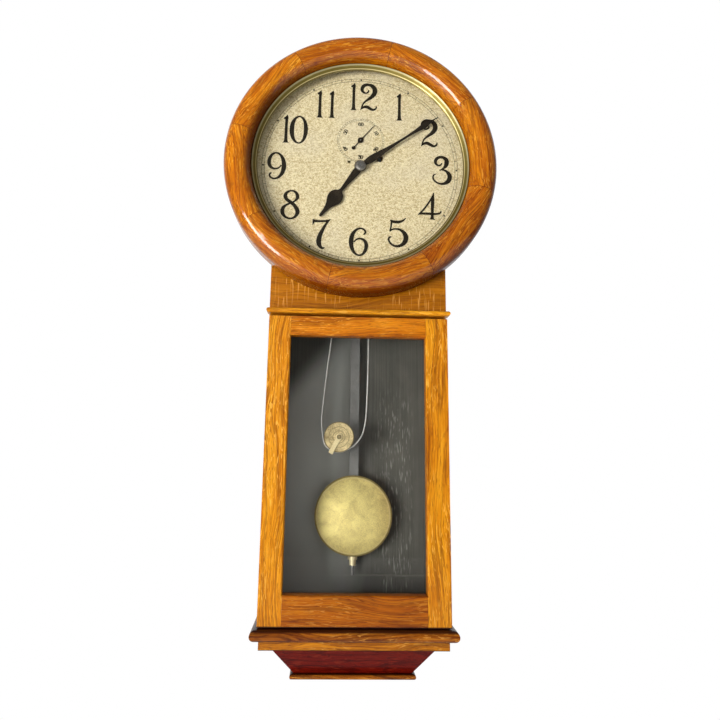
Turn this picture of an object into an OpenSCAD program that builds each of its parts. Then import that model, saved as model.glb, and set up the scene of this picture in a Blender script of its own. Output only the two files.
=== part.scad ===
// Weight-driven wall regulator: oak case, round dial door, glazed trunk door, pendulum and cable.
// Frame: origin at the centre of the hanging hole on the wall plane, +X right, +Z up, front towards -Y.
// Depths are given as forward distances from the wall, so a larger value is nearer the viewer.
// Heights named with the ending _z are measured from the dial centre unless the comment says otherwise.

/* [Hanging] */
// Distance of the hanging hole below the case top
hang_depth = 28; // [24:1:32]
// Radius of the round part of the hanging hole
hang_hole_r = 6; // [5:0.5:7]
// Width of the slot above the hanging hole
hang_slot_w = 5; // [4:0.5:6]
// Thickness of the hanger plate
hanger_t = 2.5; // [2:0.5:3]

/* [Case] */
// Width over the case sides
case_w = 236; // [230:1:250]
// Depth of the case sides from the wall
case_d = 88; // [88:1:100]
// Thickness of the case sides
side_t = 12; // [10:1:14]
// Thickness of the back board
back_t = 9; // [8:1:11]
// Thickness of the top board
top_t = 10; // [8:1:12]
// Distance of the case top below the dial door's upper edge
case_top_in = 48; // [44:1:54]
// Thickness of the neck panel
neck_t = 8; // [6:1:9]
// Overhang of the moulding under the neck beyond each case side
waist_overhang = 2.5; // [1:0.5:8]
// Thickness of the moulding under the neck
waist_t = 6.5; // [5:0.5:7]
// Gap between the dial door's edge and the waist moulding
waist_gap = 19; // [14:1:24]
// Projection of the waist moulding in front of the case sides
waist_out = 27; // [26:1:34]

/* [Base] */
// Overhang of the nosed base board beyond each case side
base_overhang = 6.5; // [4:0.5:10]
// Thickness of the nosed base board
base_t = 13.5; // [11:0.5:15]
// Projection of the base board in front of the case sides
base_out = 32; // [28:1:40]
// Inset of the fascia frame from each case side
fascia_inset = 3.7; // [2:0.1:8]
// Height of the fascia frame
fascia_h = 11; // [9:0.5:14]
// Projection of the fascia in front of the case sides
fascia_out = 20; // [16:1:24]
// Width of the fascia frame's members
fascia_t = 20; // [16:1:22]
// Height of the tapered section
taper_h = 34.5; // [28:0.5:40]
// Inset of the tapered section's top from each case side
taper_top_inset = 18; // [15:1:20]
// Inset of the tapered section's foot from each case side
taper_foot_inset = 45; // [43:1:53]
// Projection of the tapered section's top in front of the case sides
taper_top_out = 10; // [8:1:12]
// How far the tapered section's foot stands behind the case sides' front
taper_foot_in = 16; // [12:1:24]
// Thickness of the tapered section's boards
taper_t = 9; // [7:1:11]
// Overhang of the foot board beyond each side of the tapered section
foot_overhang = 4.5; // [3:0.5:9]
// Thickness of the foot board
foot_t = 6.5; // [5:0.5:9]
// Projection of the foot board in front of the tapered section
foot_out = 6; // [5:1:14]

/* [Trunk door] */
// Distance of the trunk door's edges in from the case sides
door_side_gap = 1.3; // [0.3:0.1:5]
// Height of the trunk door
door_h = 378; // [340:1:400]
// Thickness of the trunk door
door_t = 22; // [20:1:24]
// Gap between the waist moulding and the door's top edge
door_top_gap = 3.8; // [2:0.2:5]
// Gap between the door's bottom edge and the base board
door_foot_gap = 1.5; // [1:0.5:5]
// Width of the door stiles
stile_w = 28.7; // [24:0.1:34]
// Width of the door's top rail
top_rail_h = 25.2; // [22:0.2:34]
// Width of the door's bottom rail
bottom_rail_h = 35.8; // [26:0.2:44]
// Width of the rabbet that holds the door glass
rabbet_w = 7; // [5:0.5:9]
// Thickness of the door glass
door_glass_t = 2.2; // [2:0.1:3]
// Chamfer round the front edge of the door's window
window_chamfer = 1.5; // [1:0.1:2.5]
// Radius of the trunk door's hinge barrel
door_knuckle_r = 2; // [1.8:0.1:2.4]

/* [Dial door] */
// Outer radius of the wooden ring
ring_r = 186; // [182:1:192]
// Radial width of the wooden ring
ring_w = 36.4; // [34:0.2:40]
// Forward distance from the ring's back to the start of its half-round front
ring_skirt = 21.5; // [18:0.5:26]
// Number of glued segments in the ring
ring_segments = 8; // [6:1:12]
// Turn of the first glue joint, clockwise from the top
ring_joint_turn = 13.4; // [0:0.1:44]
// Radial width of the brass sight ring that shows inside the wood
sight_w = 8.2; // [7:0.2:12]
// Thickness of the dial glass
dial_glass_t = 2; // [1.8:0.1:2.4]
// Clear space between the dial and its glass
dial_air = 12; // [11.4:0.1:13]
// Radius of the dial door's hinge barrel
ring_knuckle_r = 2.5; // [2.2:0.1:2.8]

/* [Dial] */
// Reach of the dial plate behind the wooden ring
dial_lap = 2.4; // [1:0.2:3]
// Thickness of the dial plate
dial_t = 1.2; // [0.8:0.1:1.4]
// Distance of the fixed backing ring's edge in from the wooden ring's edge
backing_inset = 10; // [8:1:14]
// Radial width of the backing ring
backing_w = 96; // [90:1:98]
// Thickness of the backing ring
backing_t = 10; // [9:1:12]
// Radius of the centre hole in the dial
dial_centre_r = 6; // [5:0.5:8]
// Radius of the winding hole in the dial
winding_hole_r = 5; // [4.5:0.5:6]
// Radius of the seconds hole in the dial
seconds_hole_r = 2.6; // [2.2:0.1:3.5]
// Radius of the small hole in the dial left of its centre
side_hole_r = 2; // [1.5:0.1:2.5]

/* [Hands] */
// Gap between the minute hand's tip and the brass sight ring
minute_gap = 7.4; // [5:0.2:20]
// Difference in length between the minute and the hour hand
hour_gap = 42; // [30:1:60]
// Length of the seconds hand from its centre
seconds_len = 31; // [24:1:33]
// Time shown by the hands in minutes after twelve
shown_minutes = 429.1; // [0:0.1:720]
// Small setting error of the hour hand in degrees
hour_slip = 1.8; // [-3:0.1:3]
// Seconds shown by the small hand
shown_seconds = 6.6; // [0:0.1:60]
// Thickness of the hands
hand_t = 0.9; // [0.6:0.1:1]

/* [Movement] */
// Distance of the movement's back plate behind the case sides' front
plate_setback = 44; // [43:0.5:44.5]
// Clear space between the movement plates
plate_gap = 31.5; // [31.5:0.5:32.5]
// Thickness of the movement plates
plate_t = 2.5; // [2:0.1:2.8]
// Half width of the movement plates
plate_half_w = 60; // [58:1:70]
// Height of the movement plates above the dial centre
plate_top_z = 96; // [92:1:110]
// Reach of the movement plates below the dial centre
plate_drop = 50; // [44:1:60]
// Radius of the plate pillars
pillar_r = 4; // [3:0.5:5]
// Radius of the posts that carry the movement on the back board
post_r = 5; // [4:0.5:6]
// Radial clearance of every running fit
running_fit = 0.05; // [0.02:0.01:0.08]
// Radius of the train pivots
pivot_r = 1; // [0.8:0.1:1.2]
// Module of the great wheel and centre pinion
great_m = 0.5; // [0.48:0.01:0.52]
// Module of the centre wheel and third pinion
centre_m = 0.65; // [0.62:0.01:0.66]
// Module of the third wheel and escape pinion
third_m = 0.6; // [0.58:0.01:0.62]
// Distance of the seconds arbor above the dial centre
seconds_z = 41; // [40:0.5:42]
// Tip radius of the escape wheel
escape_r = 22; // [20:0.5:22.5]
// Teeth of the escape wheel
escape_teeth = 40; // [30:1:45]
// Radius of the winding drum
drum_r = 10; // [8:0.5:10.5]
// Length of the winding drum between its flanges
drum_len = 14; // [10:1:14]

/* [Pendulum] */
// Distance of the bob centre below the dial centre
bob_drop = 472; // [440:1:480]
// Radius of the bob
bob_r = 52.6; // [46:0.2:56]
// Thickness of the bob at its middle
bob_t = 24; // [20:1:26]
// Forward distance of the bob's middle plane
bob_f = 27; // [26:0.5:28]
// Width of the pendulum rod
rod_w = 12.6; // [10:0.2:14]
// Thickness of the pendulum rod
rod_t = 6; // [4:0.5:7]
// Radius of the rating screw
rating_r = 2; // [1.5:0.1:2.5]

/* [Cable and pulley] */
// Diameter of the cable
cable_d = 1.8; // [1.4:0.1:2]
// Radius over the pulley's flanges
pulley_r = 20; // [19:0.5:22]
// Width of the pulley
pulley_w = 6; // [5:0.5:8]
// Thickness of the stirrup strap
strap_t = 1.2; // [1:0.1:1.6]
// Lean of the stirrup to the left of straight down
strap_lean = 27; // [15:1:35]

/* [Hidden] */

case_top_z = ring_r - case_top_in;
hang_drop = case_top_z - hang_depth;
dial_z = -hang_drop;
fit_gap = 0.3;

// Case heights in the part's own frame
case_top = dial_z + case_top_z;
waist_top = dial_z - ring_r - waist_gap;
waist_foot = waist_top - waist_t;
door_top = waist_foot - door_top_gap;
door_foot = door_top - door_h;
base_top = door_foot - door_foot_gap;
base_foot = base_top - base_t;
fascia_foot = base_foot - fascia_h;
taper_foot = fascia_foot - taper_h;
foot_foot = taper_foot - foot_t;

// Case widths as halves, and forward distances
case_half = case_w / 2;
inner_half = case_half - side_t;
waist_half = case_half + waist_overhang;
waist_front = case_d + waist_out;
base_half = case_half + base_overhang;
base_front = case_d + base_out;
fascia_half = case_half - fascia_inset;
fascia_front = case_d + fascia_out;
taper_top_half = case_half - taper_top_inset;
taper_foot_half = case_half - taper_foot_inset;
taper_top_front = case_d + taper_top_out;
taper_foot_front = case_d - taper_foot_in;
foot_half = taper_foot_half + foot_overhang;
foot_front = taper_foot_front + foot_out;
stop_rail_t = 10;
stop_rail_lap = 6;
hanger_half = 30;
hanger_foot = -24;

// Trunk door
door_back = case_d + 0.4;
door_front = door_back + door_t;
door_half = case_half - door_side_gap;
window_half = door_half - stile_w;
window_top = door_top - top_rail_h;
window_foot = door_foot + bottom_rail_h;
glass_back = door_back + 5.6;
glass_front = glass_back + door_glass_t;
door_hinge_x = door_half + 0.5;
door_hinge_f = case_d + 0.2;
hinge_leaf_t = 1.2;
hinge_leaf_w = 9;
hinge_len = 42;
ring_hinge_len = 30;
door_hinge_heights = [door_top - 60, door_foot + 60];
tenon_reach = 17.5;
tenon_back = door_back + 7;
tenon_front = door_back + 15;
board_gap = 0.1;
hanger_top = case_top - top_t - 1;

// Dial and dial door
ring_bore_r = ring_r - ring_w;
sight_r = ring_bore_r - sight_w;
dial_r = ring_bore_r + dial_lap;
backing_r = ring_r - backing_inset;
backing_bore_r = backing_r - backing_w;
neck_drop = 0.625 * backing_r;
dial_foot_reach = backing_bore_r + 20;
minute_len = sight_r - minute_gap;
hour_len = minute_len - hour_gap;
side_hole = [-15.6, 8.4];
backing_front = case_d + backing_t;
dial_back = backing_front + 0.1;
dial_front = dial_back + dial_t;
ring_back = backing_front + 0.5;
ring_shoulder = ring_back + ring_skirt;
ring_tube_r = (ring_r - ring_bore_r) / 2;
ring_front = ring_shoulder + ring_tube_r;
rabbet_r = dial_r + 4;
rabbet_depth = 6.5;
glass_seat = dial_front + dial_air + dial_glass_t;
dial_glass_r = ring_bore_r - 1.7;
ring_hinge_x = backing_r + 3;
ring_hinge_f = (backing_front + ring_back) / 2;
ring_hinge_heights = [dial_z + 24, dial_z - 24];
ring_leaf_w = 22;
catch_r = 3;
dimple_r = 2.4;
dimple_depth = 1.3;
ring_catch_x = 12 - backing_r;
door_catch_x = -(case_half - side_t / 2);
door_catch_z = (door_top + door_foot) / 2;

// Movement
back_plate_f = case_d - plate_setback;
back_plate_front = back_plate_f + plate_t;
front_plate_f = back_plate_front + plate_gap;
front_plate_front = front_plate_f + plate_t;
great_teeth = 114;
centre_leaves = 8;
centre_teeth = 80;
third_leaves = 10;
third_teeth = 75;
escape_leaves = 10;
great_reach = great_m * (great_teeth + centre_leaves) / 2;
drum_turn = 27.7;
drum_x = great_reach * cos(drum_turn);
drum_z = great_reach * sin(drum_turn);
third_reach = centre_m * (centre_teeth + third_leaves) / 2;
escape_reach = third_m * (third_teeth + escape_leaves) / 2;
third_z = (third_reach * third_reach - escape_reach * escape_reach + seconds_z * seconds_z)
    / (2 * seconds_z);
third_x = -sqrt(third_reach * third_reach - third_z * third_z);
pallet_span = 10.5;
pallet_turn = 180 * pallet_span / escape_teeth;
pivot_z = seconds_z + escape_r / cos(pallet_turn);
great_f = back_plate_front + 2.5;
great_t = 2;
third_wheel_f = back_plate_front + 9.5;
escape_wheel_f = back_plate_front + 19.5;
centre_wheel_f = front_plate_f - 5;
wheel_t = 1.4;
drum_f = great_f + great_t + 3.1;
flange_t = 1.4;
flange_r = drum_r + 3;
arbor_r = 1.5;
winding_arbor_r = 3;
cannon_leaves = 12;
minute_teeth = 36;
minute_leaves = 8;
hour_teeth = 32;
motion_m = 0.5;
hour_m = motion_m * (cannon_leaves + minute_teeth) / (minute_leaves + hour_teeth);
motion_reach = motion_m * (cannon_leaves + minute_teeth) / 2;
motion_f = front_plate_front + 1.5;
hour_f = motion_f + 3.2;
centre_tip_r = 1.5;
minute_stud_r = 1;
cannon_r = 2.6;
hour_pipe_r = 3.9;
seconds_hand_f = dial_front + 0.8;
hour_hand_f = seconds_hand_f + hand_t + 1.2;
minute_hand_f = hour_hand_f + hand_t + 2;
nut_f = minute_hand_f + hand_t;
nut_r = 7.6;
nut_h = 3.8;
nut_rim = 0.8;
minute_boss_r = 8.4;
hour_boss_r = 6.6;

// Pendulum
bob_z = dial_z - bob_drop;
rod_f = bob_f - 4;
rod_drop = 16;
rod_top = dial_z + pivot_z - rod_drop;
rod_foot = bob_z - 2;
rating_nut_h = 4;
rating_travel = 4;
spring_t = 0.4;
spring_w = 8;

// Cable and pulley
pulley_x = -22;
pulley_drop = 368.8;
pulley_z = dial_z - pulley_drop;
pulley_f = drum_f + drum_len / 2;
groove_r = pulley_r - 2.5;
cable_r = cable_d / 2;
stud_x = -24;
stud_z = dial_z - 42;
stud_r = 2;

module slab(x0, x1, f0, f1, z0, z1) {
    translate([x0, -f1, z0]) cube([x1 - x0, f1 - f0, z1 - z0]);
}

// Extrudes a flat outline, drawn as seen from the front, from one forward distance to another
module forward(f0, f1) {
    translate([0, -f0, 0]) rotate([90, 0, 0]) linear_extrude(f1 - f0) children();
}

// Extrudes an outline drawn in forward distance and height across the width
module across(x0, x1) {
    translate([x0, 0, 0]) rotate([90, 0, 0]) rotate([0, 90, 0]) mirror([1, 0, 0])
        linear_extrude(x1 - x0) children();
}

// Turns a profile of radius and forward distance about an axis square to the wall
module turned(x, z) {
    translate([x, 0, z]) rotate([90, 0, 0]) rotate_extrude($fn = 96) children();
}

module shaft(x, z, r, f0, f1) {
    translate([x, -f0, z]) rotate([90, 0, 0]) cylinder(h = f1 - f0, r = r, $fn = 48);
}

module upright(x, f, r, z0, z1) {
    translate([x, -f, z0]) cylinder(h = z1 - z0, r = r, $fn = 32);
}

// Points of an arc from one angle to another
function arc(cx, cy, r, a0, a1, n) = [for (i = [0 : n]) let (a = a0 + (a1 - a0) * i / n)
    [cx + r * cos(a), cy + r * sin(a)]];

// Toothed outline: straight-sided teeth with running clearance
function gear_points(teeth, m, add, ded, tip, pitch, root) = [for (i = [0 : teeth - 1])
    let (a = 360 * i / teeth, s = 360 / teeth, r = m * teeth / 2)
    for (p = [[r - ded * m, -root], [r, -pitch], [r + add * m, -tip], [r + add * m, tip], [r, pitch],
        [r - ded * m, root]])
        [p[0] * cos(a + s * p[1]), p[0] * sin(a + s * p[1])]];

module wheel_outline(teeth, m) {
    polygon(gear_points(teeth, m, 0.85, 1.15, 0.08, 0.19, 0.27));
}

module pinion_outline(leaves, m) {
    polygon(gear_points(leaves, m, 0.75, 1.1, 0.06, 0.16, 0.17));
}

// A wheel blank with its rim, spokes and bore
module spoked_wheel(teeth, m, bore, spokes, turn) {
    rim_r = m * teeth / 2 - 3.2;
    hub_r = bore + 2.5;
    difference() {
        rotate(turn) wheel_outline(teeth, m);
        circle(r = bore, $fn = 48);
        for (k = [0 : spokes - 1]) rotate(360 * k / spokes + 180 / spokes) polygon(concat(
            arc(0, 0, rim_r, -180 / spokes + 8, 180 / spokes - 8, 8),
            arc(0, 0, hub_r, 180 / spokes - 24, -180 / spokes + 24, 3)));
    }
}

/* Case */

module board_nosing(half, f1, z0, z1) {
    r = (z1 - z0) / 2;
    mid = (z0 + z1) / 2;
    intersection() {
        forward(0, f1) polygon(concat(
            arc(half - r, mid, r, -90, 90, 14), arc(-half + r, mid, r, 90, 270, 14)));
        across(-half, half) polygon(concat([[0, z0]], arc(f1 - r, mid, r, -90, 90, 14), [[0, z1]]));
    }
}

module back_board() {
    color([0.25, 0.24, 0.22]) difference() {
        slab(-inner_half, inner_half, 0, back_t, base_top, case_top - top_t);
        slab(-hanger_half, hanger_half, -1, hanger_t, hanger_foot, hanger_top);
        slab(-9, 9, -1, back_t - 2, -9, hanger_top);
    }
}

module case_sides() {
    color([0.78, 0.47, 0.13]) {
        difference() {
            slab(-case_half, -inner_half, 0, case_d, base_top, case_top - top_t);
            shaft(door_catch_x, door_catch_z, catch_r, case_d - 13.2, case_d + 1);
        }
        difference() {
            slab(inner_half, case_half, 0, case_d, base_top, case_top - top_t);
            for (z = door_hinge_heights) {
                slab(inner_half, case_half + 1, case_d - hinge_leaf_t, case_d + 1,
                    z - hinge_len / 2, z + hinge_len / 2);
                upright(door_hinge_x, door_hinge_f, door_knuckle_r + 0.4,
                    z - hinge_len / 2, z + hinge_len / 2);
            }
        }
    }
}

module top_board() {
    color([0.78, 0.47, 0.13]) slab(-case_half, case_half, 0, case_d, case_top - top_t, case_top);
}

module base_board() {
    color([0.72, 0.42, 0.12]) board_nosing(base_half, base_front, base_foot, base_top);
}

module fascia_frame() {
    color([0.72, 0.42, 0.12]) {
        slab(-fascia_half, fascia_half, fascia_front - fascia_t, fascia_front, fascia_foot, base_foot);
        for (s = [-1, 1]) scale([s, 1, 1])
            slab(fascia_half - fascia_t, fascia_half, 0, fascia_front - fascia_t - board_gap,
                fascia_foot, base_foot);
    }
}

// Tapered block with its sides and front drawn in by the given amounts
module taper_block(side_in, front_in) {
    t = taper_top_half - side_in;
    b = taper_foot_half - side_in;
    intersection() {
        forward(-1, case_d + 30) polygon([[-t, fascia_foot], [-b, taper_foot],
            [b, taper_foot], [t, fascia_foot]]);
        across(-case_w, case_w) polygon([[0, fascia_foot], [0, taper_foot],
            [taper_foot_front - front_in, taper_foot], [taper_top_front - front_in, fascia_foot]]);
    }
}

module taper_boards() {
    color([0.32, 0.08, 0.04]) {
        difference() {
            taper_block(0, 0);
            taper_block(-20, taper_t);
        }
        for (s = [-1, 1]) intersection() {
            difference() {
                taper_block(0, taper_t + board_gap);
                taper_block(taper_t, -20);
            }
            slab(min(s * case_w, 0), max(s * case_w, 0), -1, case_d + 30, taper_foot - 1, fascia_foot + 1);
        }
    }
}

module foot_board() {
    color([0.55, 0.34, 0.1]) board_nosing(foot_half, foot_front, foot_foot, taper_foot);
}

// Panel below the dial, scooped to fit round the backing ring
module neck_panel() {
    color([0.72, 0.43, 0.1]) difference() {
        slab(-case_half, case_half, case_d, case_d + neck_t, waist_foot, dial_z - neck_drop);
        shaft(0, dial_z, backing_r + 0.2, case_d - 1, case_d + neck_t + 1);
    }
}

module waist_moulding() {
    r = waist_t / 2;
    mid = (waist_top + waist_foot) / 2;
    color([0.75, 0.45, 0.12]) intersection() {
        forward(case_d + neck_t, waist_front) polygon(concat(
            arc(waist_half - r, mid, r, -90, 90, 12), arc(-waist_half + r, mid, r, 90, 270, 12)));
        across(-waist_half, waist_half) polygon(concat([[0, waist_foot]],
            arc(waist_front - r, mid, r, -90, 90, 12), [[0, waist_top]]));
    }
}

// Rails between the sides that stiffen the case and stop the door
module stop_rails() {
    color([0.6, 0.36, 0.12]) {
        slab(-inner_half, inner_half, case_d - stop_rail_t, case_d, window_top + stop_rail_lap, waist_top);
        slab(-inner_half, inner_half, case_d - stop_rail_t, case_d, base_top, window_foot - stop_rail_lap);
    }
}

module hanger_plate() {
    color([0.45, 0.44, 0.42]) difference() {
        slab(-hanger_half, hanger_half, 0, hanger_t, hanger_foot, hanger_top);
        shaft(0, 0, hang_hole_r, -1, hanger_t + 1);
        slab(-hang_slot_w / 2, hang_slot_w / 2, -1, hanger_t + 1, 0, hang_hole_r + 8);
    }
}

/* Trunk door */

module door_stile(s) {
    scale([s, 1, 1]) difference() {
        forward(door_back, door_front) polygon([[window_half, door_foot], [door_half, door_foot],
            [door_half, door_top], [window_half, door_top]]);
        slab(window_half - 1, window_half + rabbet_w, door_back - 1, glass_front + 0.2,
            window_foot - rabbet_w, window_top + rabbet_w);
        for (z = [[window_top + rabbet_w + 1, door_top - 5], [door_foot + 5, window_foot - rabbet_w - 1]])
            slab(window_half - 1, window_half + tenon_reach + 0.5, tenon_back, tenon_front, z[0], z[1]);
        window_cut();
        if (s < 0) shaft(-door_catch_x, door_catch_z, dimple_r, door_back - 1, door_back + dimple_depth);
        if (s > 0) for (z = door_hinge_heights) {
            slab(door_half - hinge_leaf_w, door_half + 1, door_back - 1, door_back + hinge_leaf_t,
                z - hinge_len / 2, z + hinge_len / 2);
            upright(door_hinge_x, door_hinge_f, door_knuckle_r + fit_gap,
                z - hinge_len / 2, z + hinge_len / 2);
        }
    }
}

// Chamfered outline of the window's front edge
module window_cut() {
    c = window_chamfer;
    intersection() {
        across(-case_w, case_w) polygon([[door_front - c, window_foot], [door_front, window_foot - c],
            [door_front + 1, window_foot - c - 1], [door_front + 1, window_top + c + 1],
            [door_front, window_top + c], [door_front - c, window_top]]);
        translate([0, 0, window_foot - 20]) linear_extrude(window_top - window_foot + 40)
            polygon([[-window_half, -door_front + c], [window_half, -door_front + c],
                [window_half + c, -door_front], [window_half + c + 1, -door_front - 1],
                [-window_half - c - 1, -door_front - 1], [-window_half - c, -door_front]]);
    }
}

module door_stiles() {
    color([0.8, 0.48, 0.12]) {
        door_stile(-1);
        door_stile(1);
    }
}

module door_rail(z0, z1, tenon) {
    difference() {
        union() {
            slab(-window_half, window_half, door_back, door_front, z0, z1);
            slab(-window_half - tenon_reach, window_half + tenon_reach, tenon_back, tenon_front,
                tenon[0], tenon[1]);
        }
        slab(-window_half - 1, window_half + 1, door_back - 1, glass_front + 0.2,
            window_foot - rabbet_w, window_top + rabbet_w);
        window_cut();
    }
}

module door_rails() {
    color([0.76, 0.45, 0.12]) {
        door_rail(window_top, door_top, [window_top + rabbet_w + 1, door_top - 5]);
        door_rail(door_foot, window_foot, [door_foot + 5, window_foot - rabbet_w - 1]);
    }
}

module door_glass() {
    g = rabbet_w - 0.3;
    color([0.8, 0.88, 0.86, 0.3]) slab(-window_half - g, window_half + g, glass_back, glass_front,
        window_foot - g, window_top + g);
}

module glazing_beads() {
    g = rabbet_w - 0.3;
    color([0.62, 0.36, 0.1]) {
        for (s = [-1, 1]) scale([s, 1, 1])
            slab(window_half + 0.5, window_half + g, door_back, glass_back, window_foot - g, window_top + g);
        for (z = [[window_top + 0.5, window_top + g], [window_foot - g, window_foot - 0.5]])
            slab(-window_half - 0.5 + board_gap, window_half + 0.5 - board_gap, door_back, glass_back,
                z[0], z[1]);
    }
}

// One knuckle of a hinge with the bore for its pin
module knuckle(x, f, r, bore, z0, z1) {
    difference() {
        upright(x, f, r, z0, z1);
        upright(x, f, bore, z0 - 1, z1 + 1);
    }
}

// Splits a hinge's length into three knuckles: the middle one turns, the outer two are fixed
function knuckle_span(len, k) = [[-len / 2, -len / 6 - 0.15], [-len / 6 + 0.15, len / 6 - 0.15],
    [len / 6 + 0.15, len / 2]][k];

door_pin_r = 0.9;
ring_pin_r = 1.1;
ring_leaf_t = 1.6;

module door_hinge_leaves() {
    color([0.7, 0.56, 0.25]) for (z = door_hinge_heights) {
        k = knuckle_span(hinge_len, 1);
        difference() {
            union() {
                slab(door_half - hinge_leaf_w, door_half, door_back, door_back + hinge_leaf_t,
                    z - hinge_len / 2, z + hinge_len / 2);
                slab(door_half - 1, door_hinge_x, door_back + 0.1, door_back + hinge_leaf_t,
                    z + k[0], z + k[1]);
                upright(door_hinge_x, door_hinge_f, door_knuckle_r, z + k[0], z + k[1]);
            }
            upright(door_hinge_x, door_hinge_f, door_pin_r + running_fit, z - hinge_len, z + hinge_len);
            for (j = [0, 2]) {
                o = knuckle_span(hinge_len, j);
                upright(door_hinge_x, door_hinge_f, door_knuckle_r + fit_gap,
                    z + o[0] - 0.15, z + o[1] + 0.15);
            }
        }
    }
}

module case_hinge_leaves() {
    color([0.7, 0.56, 0.25]) {
        for (z = door_hinge_heights) {
            fixed_leaf(inner_half, case_half, case_d, hinge_leaf_t, door_hinge_x, door_hinge_f,
                door_knuckle_r, z, hinge_len);
            upright(door_hinge_x, door_hinge_f, door_pin_r, z - hinge_len / 2, z + hinge_len / 2);
        }
        for (z = ring_hinge_heights) {
            fixed_leaf(ring_hinge_x - ring_leaf_w, ring_hinge_x, backing_front, ring_leaf_t, ring_hinge_x,
                ring_hinge_f, ring_knuckle_r, z, ring_hinge_len);
            upright(ring_hinge_x, ring_hinge_f, ring_pin_r, z - ring_hinge_len / 2, z + ring_hinge_len / 2);
        }
    }
}

// Leaf with the two outer knuckles, let in flush with the face at the given forward distance
module fixed_leaf(x0, x1, face, t, axis_x, axis_f, r, z, len) {
    mid = knuckle_span(len, 1);
    difference() {
        union() {
            slab(x0, x1, face - t, face, z - len / 2, z + len / 2);
            for (j = [0, 2]) {
                k = knuckle_span(len, j);
                upright(axis_x, axis_f, r, z + k[0], z + k[1]);
            }
        }
        upright(axis_x, axis_f, r + fit_gap, z + mid[0] - 0.15, z + mid[1] + 0.15);
    }
}

// Sprung bolt in a bored hole, with a rounded nose that drops into a dimple in the door
module catch_bolt(x, z, face, len) {
    turned(x, z) polygon(concat([[0, face - len], [catch_r - running_fit, face - len],
        [catch_r - running_fit, face],
        [1.8, face]], arc(0, face + 0.1, 1.8, 15, 38, 4), [[0, face + 1.1]]));
}

module door_catch() {
    color([0.75, 0.6, 0.25]) catch_bolt(door_catch_x, door_catch_z, case_d, 12);
}

module dial_catch() {
    color([0.75, 0.6, 0.25]) catch_bolt(ring_catch_x, dial_z, backing_front, 7);
}

/* Dial door */

function ring_profile() = concat([[rabbet_r, ring_back], [ring_r, ring_back]],
    arc(ring_r - ring_tube_r, ring_shoulder, ring_tube_r, 0, 180, 18),
    [[ring_bore_r, ring_back + rabbet_depth], [rabbet_r, ring_back + rabbet_depth]]);

ring_pocket = ring_knuckle_r + 0.7;

module dial_ring() {
    joint = 0.02;
    step = 360 / ring_segments;
    color([0.76, 0.42, 0.1]) for (k = [0 : ring_segments - 1]) difference() {
        intersection() {
            turned(0, dial_z) polygon(ring_profile());
            translate([0, 0, dial_z]) forward(ring_back - 5, ring_front + 5)
                rotate(90 - ring_joint_turn - step * k)
                polygon([[0, 0], [2 * ring_r * cos(-joint), 2 * ring_r * sin(-joint)],
                    [2 * ring_r * cos(step / 2), -2 * ring_r * sin(step / 2)],
                    [2 * ring_r * cos(step - joint), -2 * ring_r * sin(step - joint)]]);
        }
        for (z = ring_hinge_heights) {
            slab(ring_hinge_x - ring_pocket, ring_r + 5, ring_back - 1, ring_hinge_f + ring_pocket,
                z - ring_hinge_len / 2 - 1, z + ring_hinge_len / 2 + 1);
            slab(ring_hinge_x - ring_leaf_w, ring_hinge_x, ring_back - 1, ring_back + ring_leaf_t,
                z - ring_hinge_len / 2, z + ring_hinge_len / 2);
        }
        shaft(ring_catch_x, dial_z, dimple_r, ring_back - 1, ring_back + dimple_depth);
    }
}

module sight_ring() {
    w = ring_bore_r - 0.2;
    back = ring_back + rabbet_depth - 1.1;
    lip = glass_seat + 0.2;
    tip = ring_shoulder - 1;
    color([0.66, 0.6, 0.32]) turned(0, dial_z) polygon([[rabbet_r - 0.5, back], [rabbet_r - 0.5, back + 1],
        [w, back + 1], [w, tip], [w - 0.8, tip + 0.6], [w - 1.6, tip], [sight_r, lip + 1], [sight_r, lip],
        [w - 2.6, lip], [w - 1.2, lip + 1], [w - 1.2, back]]);
}

module dial_glass() {
    color([0.85, 0.9, 0.88, 0.3]) shaft(0, dial_z, dial_glass_r, glass_seat - dial_glass_t, glass_seat);
}

module ring_hinge_leaves() {
    color([0.7, 0.56, 0.25]) for (z = ring_hinge_heights) {
        k = knuckle_span(ring_hinge_len, 1);
        difference() {
            union() {
                slab(ring_hinge_x - ring_leaf_w, ring_hinge_x - ring_pocket,
                    ring_back, ring_back + ring_leaf_t,
                    z - ring_hinge_len / 2, z + ring_hinge_len / 2);
                slab(ring_hinge_x - ring_pocket - 1, ring_hinge_x, ring_back, ring_back + ring_leaf_t,
                    z + k[0], z + k[1]);
                upright(ring_hinge_x, ring_hinge_f, ring_knuckle_r, z + k[0], z + k[1]);
            }
            upright(ring_hinge_x, ring_hinge_f, ring_pin_r + running_fit, z - hinge_len, z + hinge_len);
        }
    }
}

/* Dial and hands */

dial_feet = [for (a = [45 : 90 : 315]) [dial_foot_reach * cos(a), dial_foot_reach * sin(a)]];

module dial_backing() {
    color([0.62, 0.38, 0.14]) difference() {
        turned(0, dial_z) polygon([[backing_bore_r, case_d], [backing_r, case_d], [backing_r, backing_front],
            [backing_bore_r, backing_front]]);
        for (z = ring_hinge_heights)
            slab(ring_hinge_x - ring_leaf_w, ring_r, backing_front - ring_leaf_t, backing_front + 1,
                z - ring_hinge_len / 2, z + ring_hinge_len / 2);
        shaft(ring_catch_x, dial_z, catch_r, backing_front - 8.2, backing_front + 1);
        for (p = dial_feet) shaft(p[0], dial_z + p[1], 2, case_d - 1, backing_front + 1);
    }
}

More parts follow.
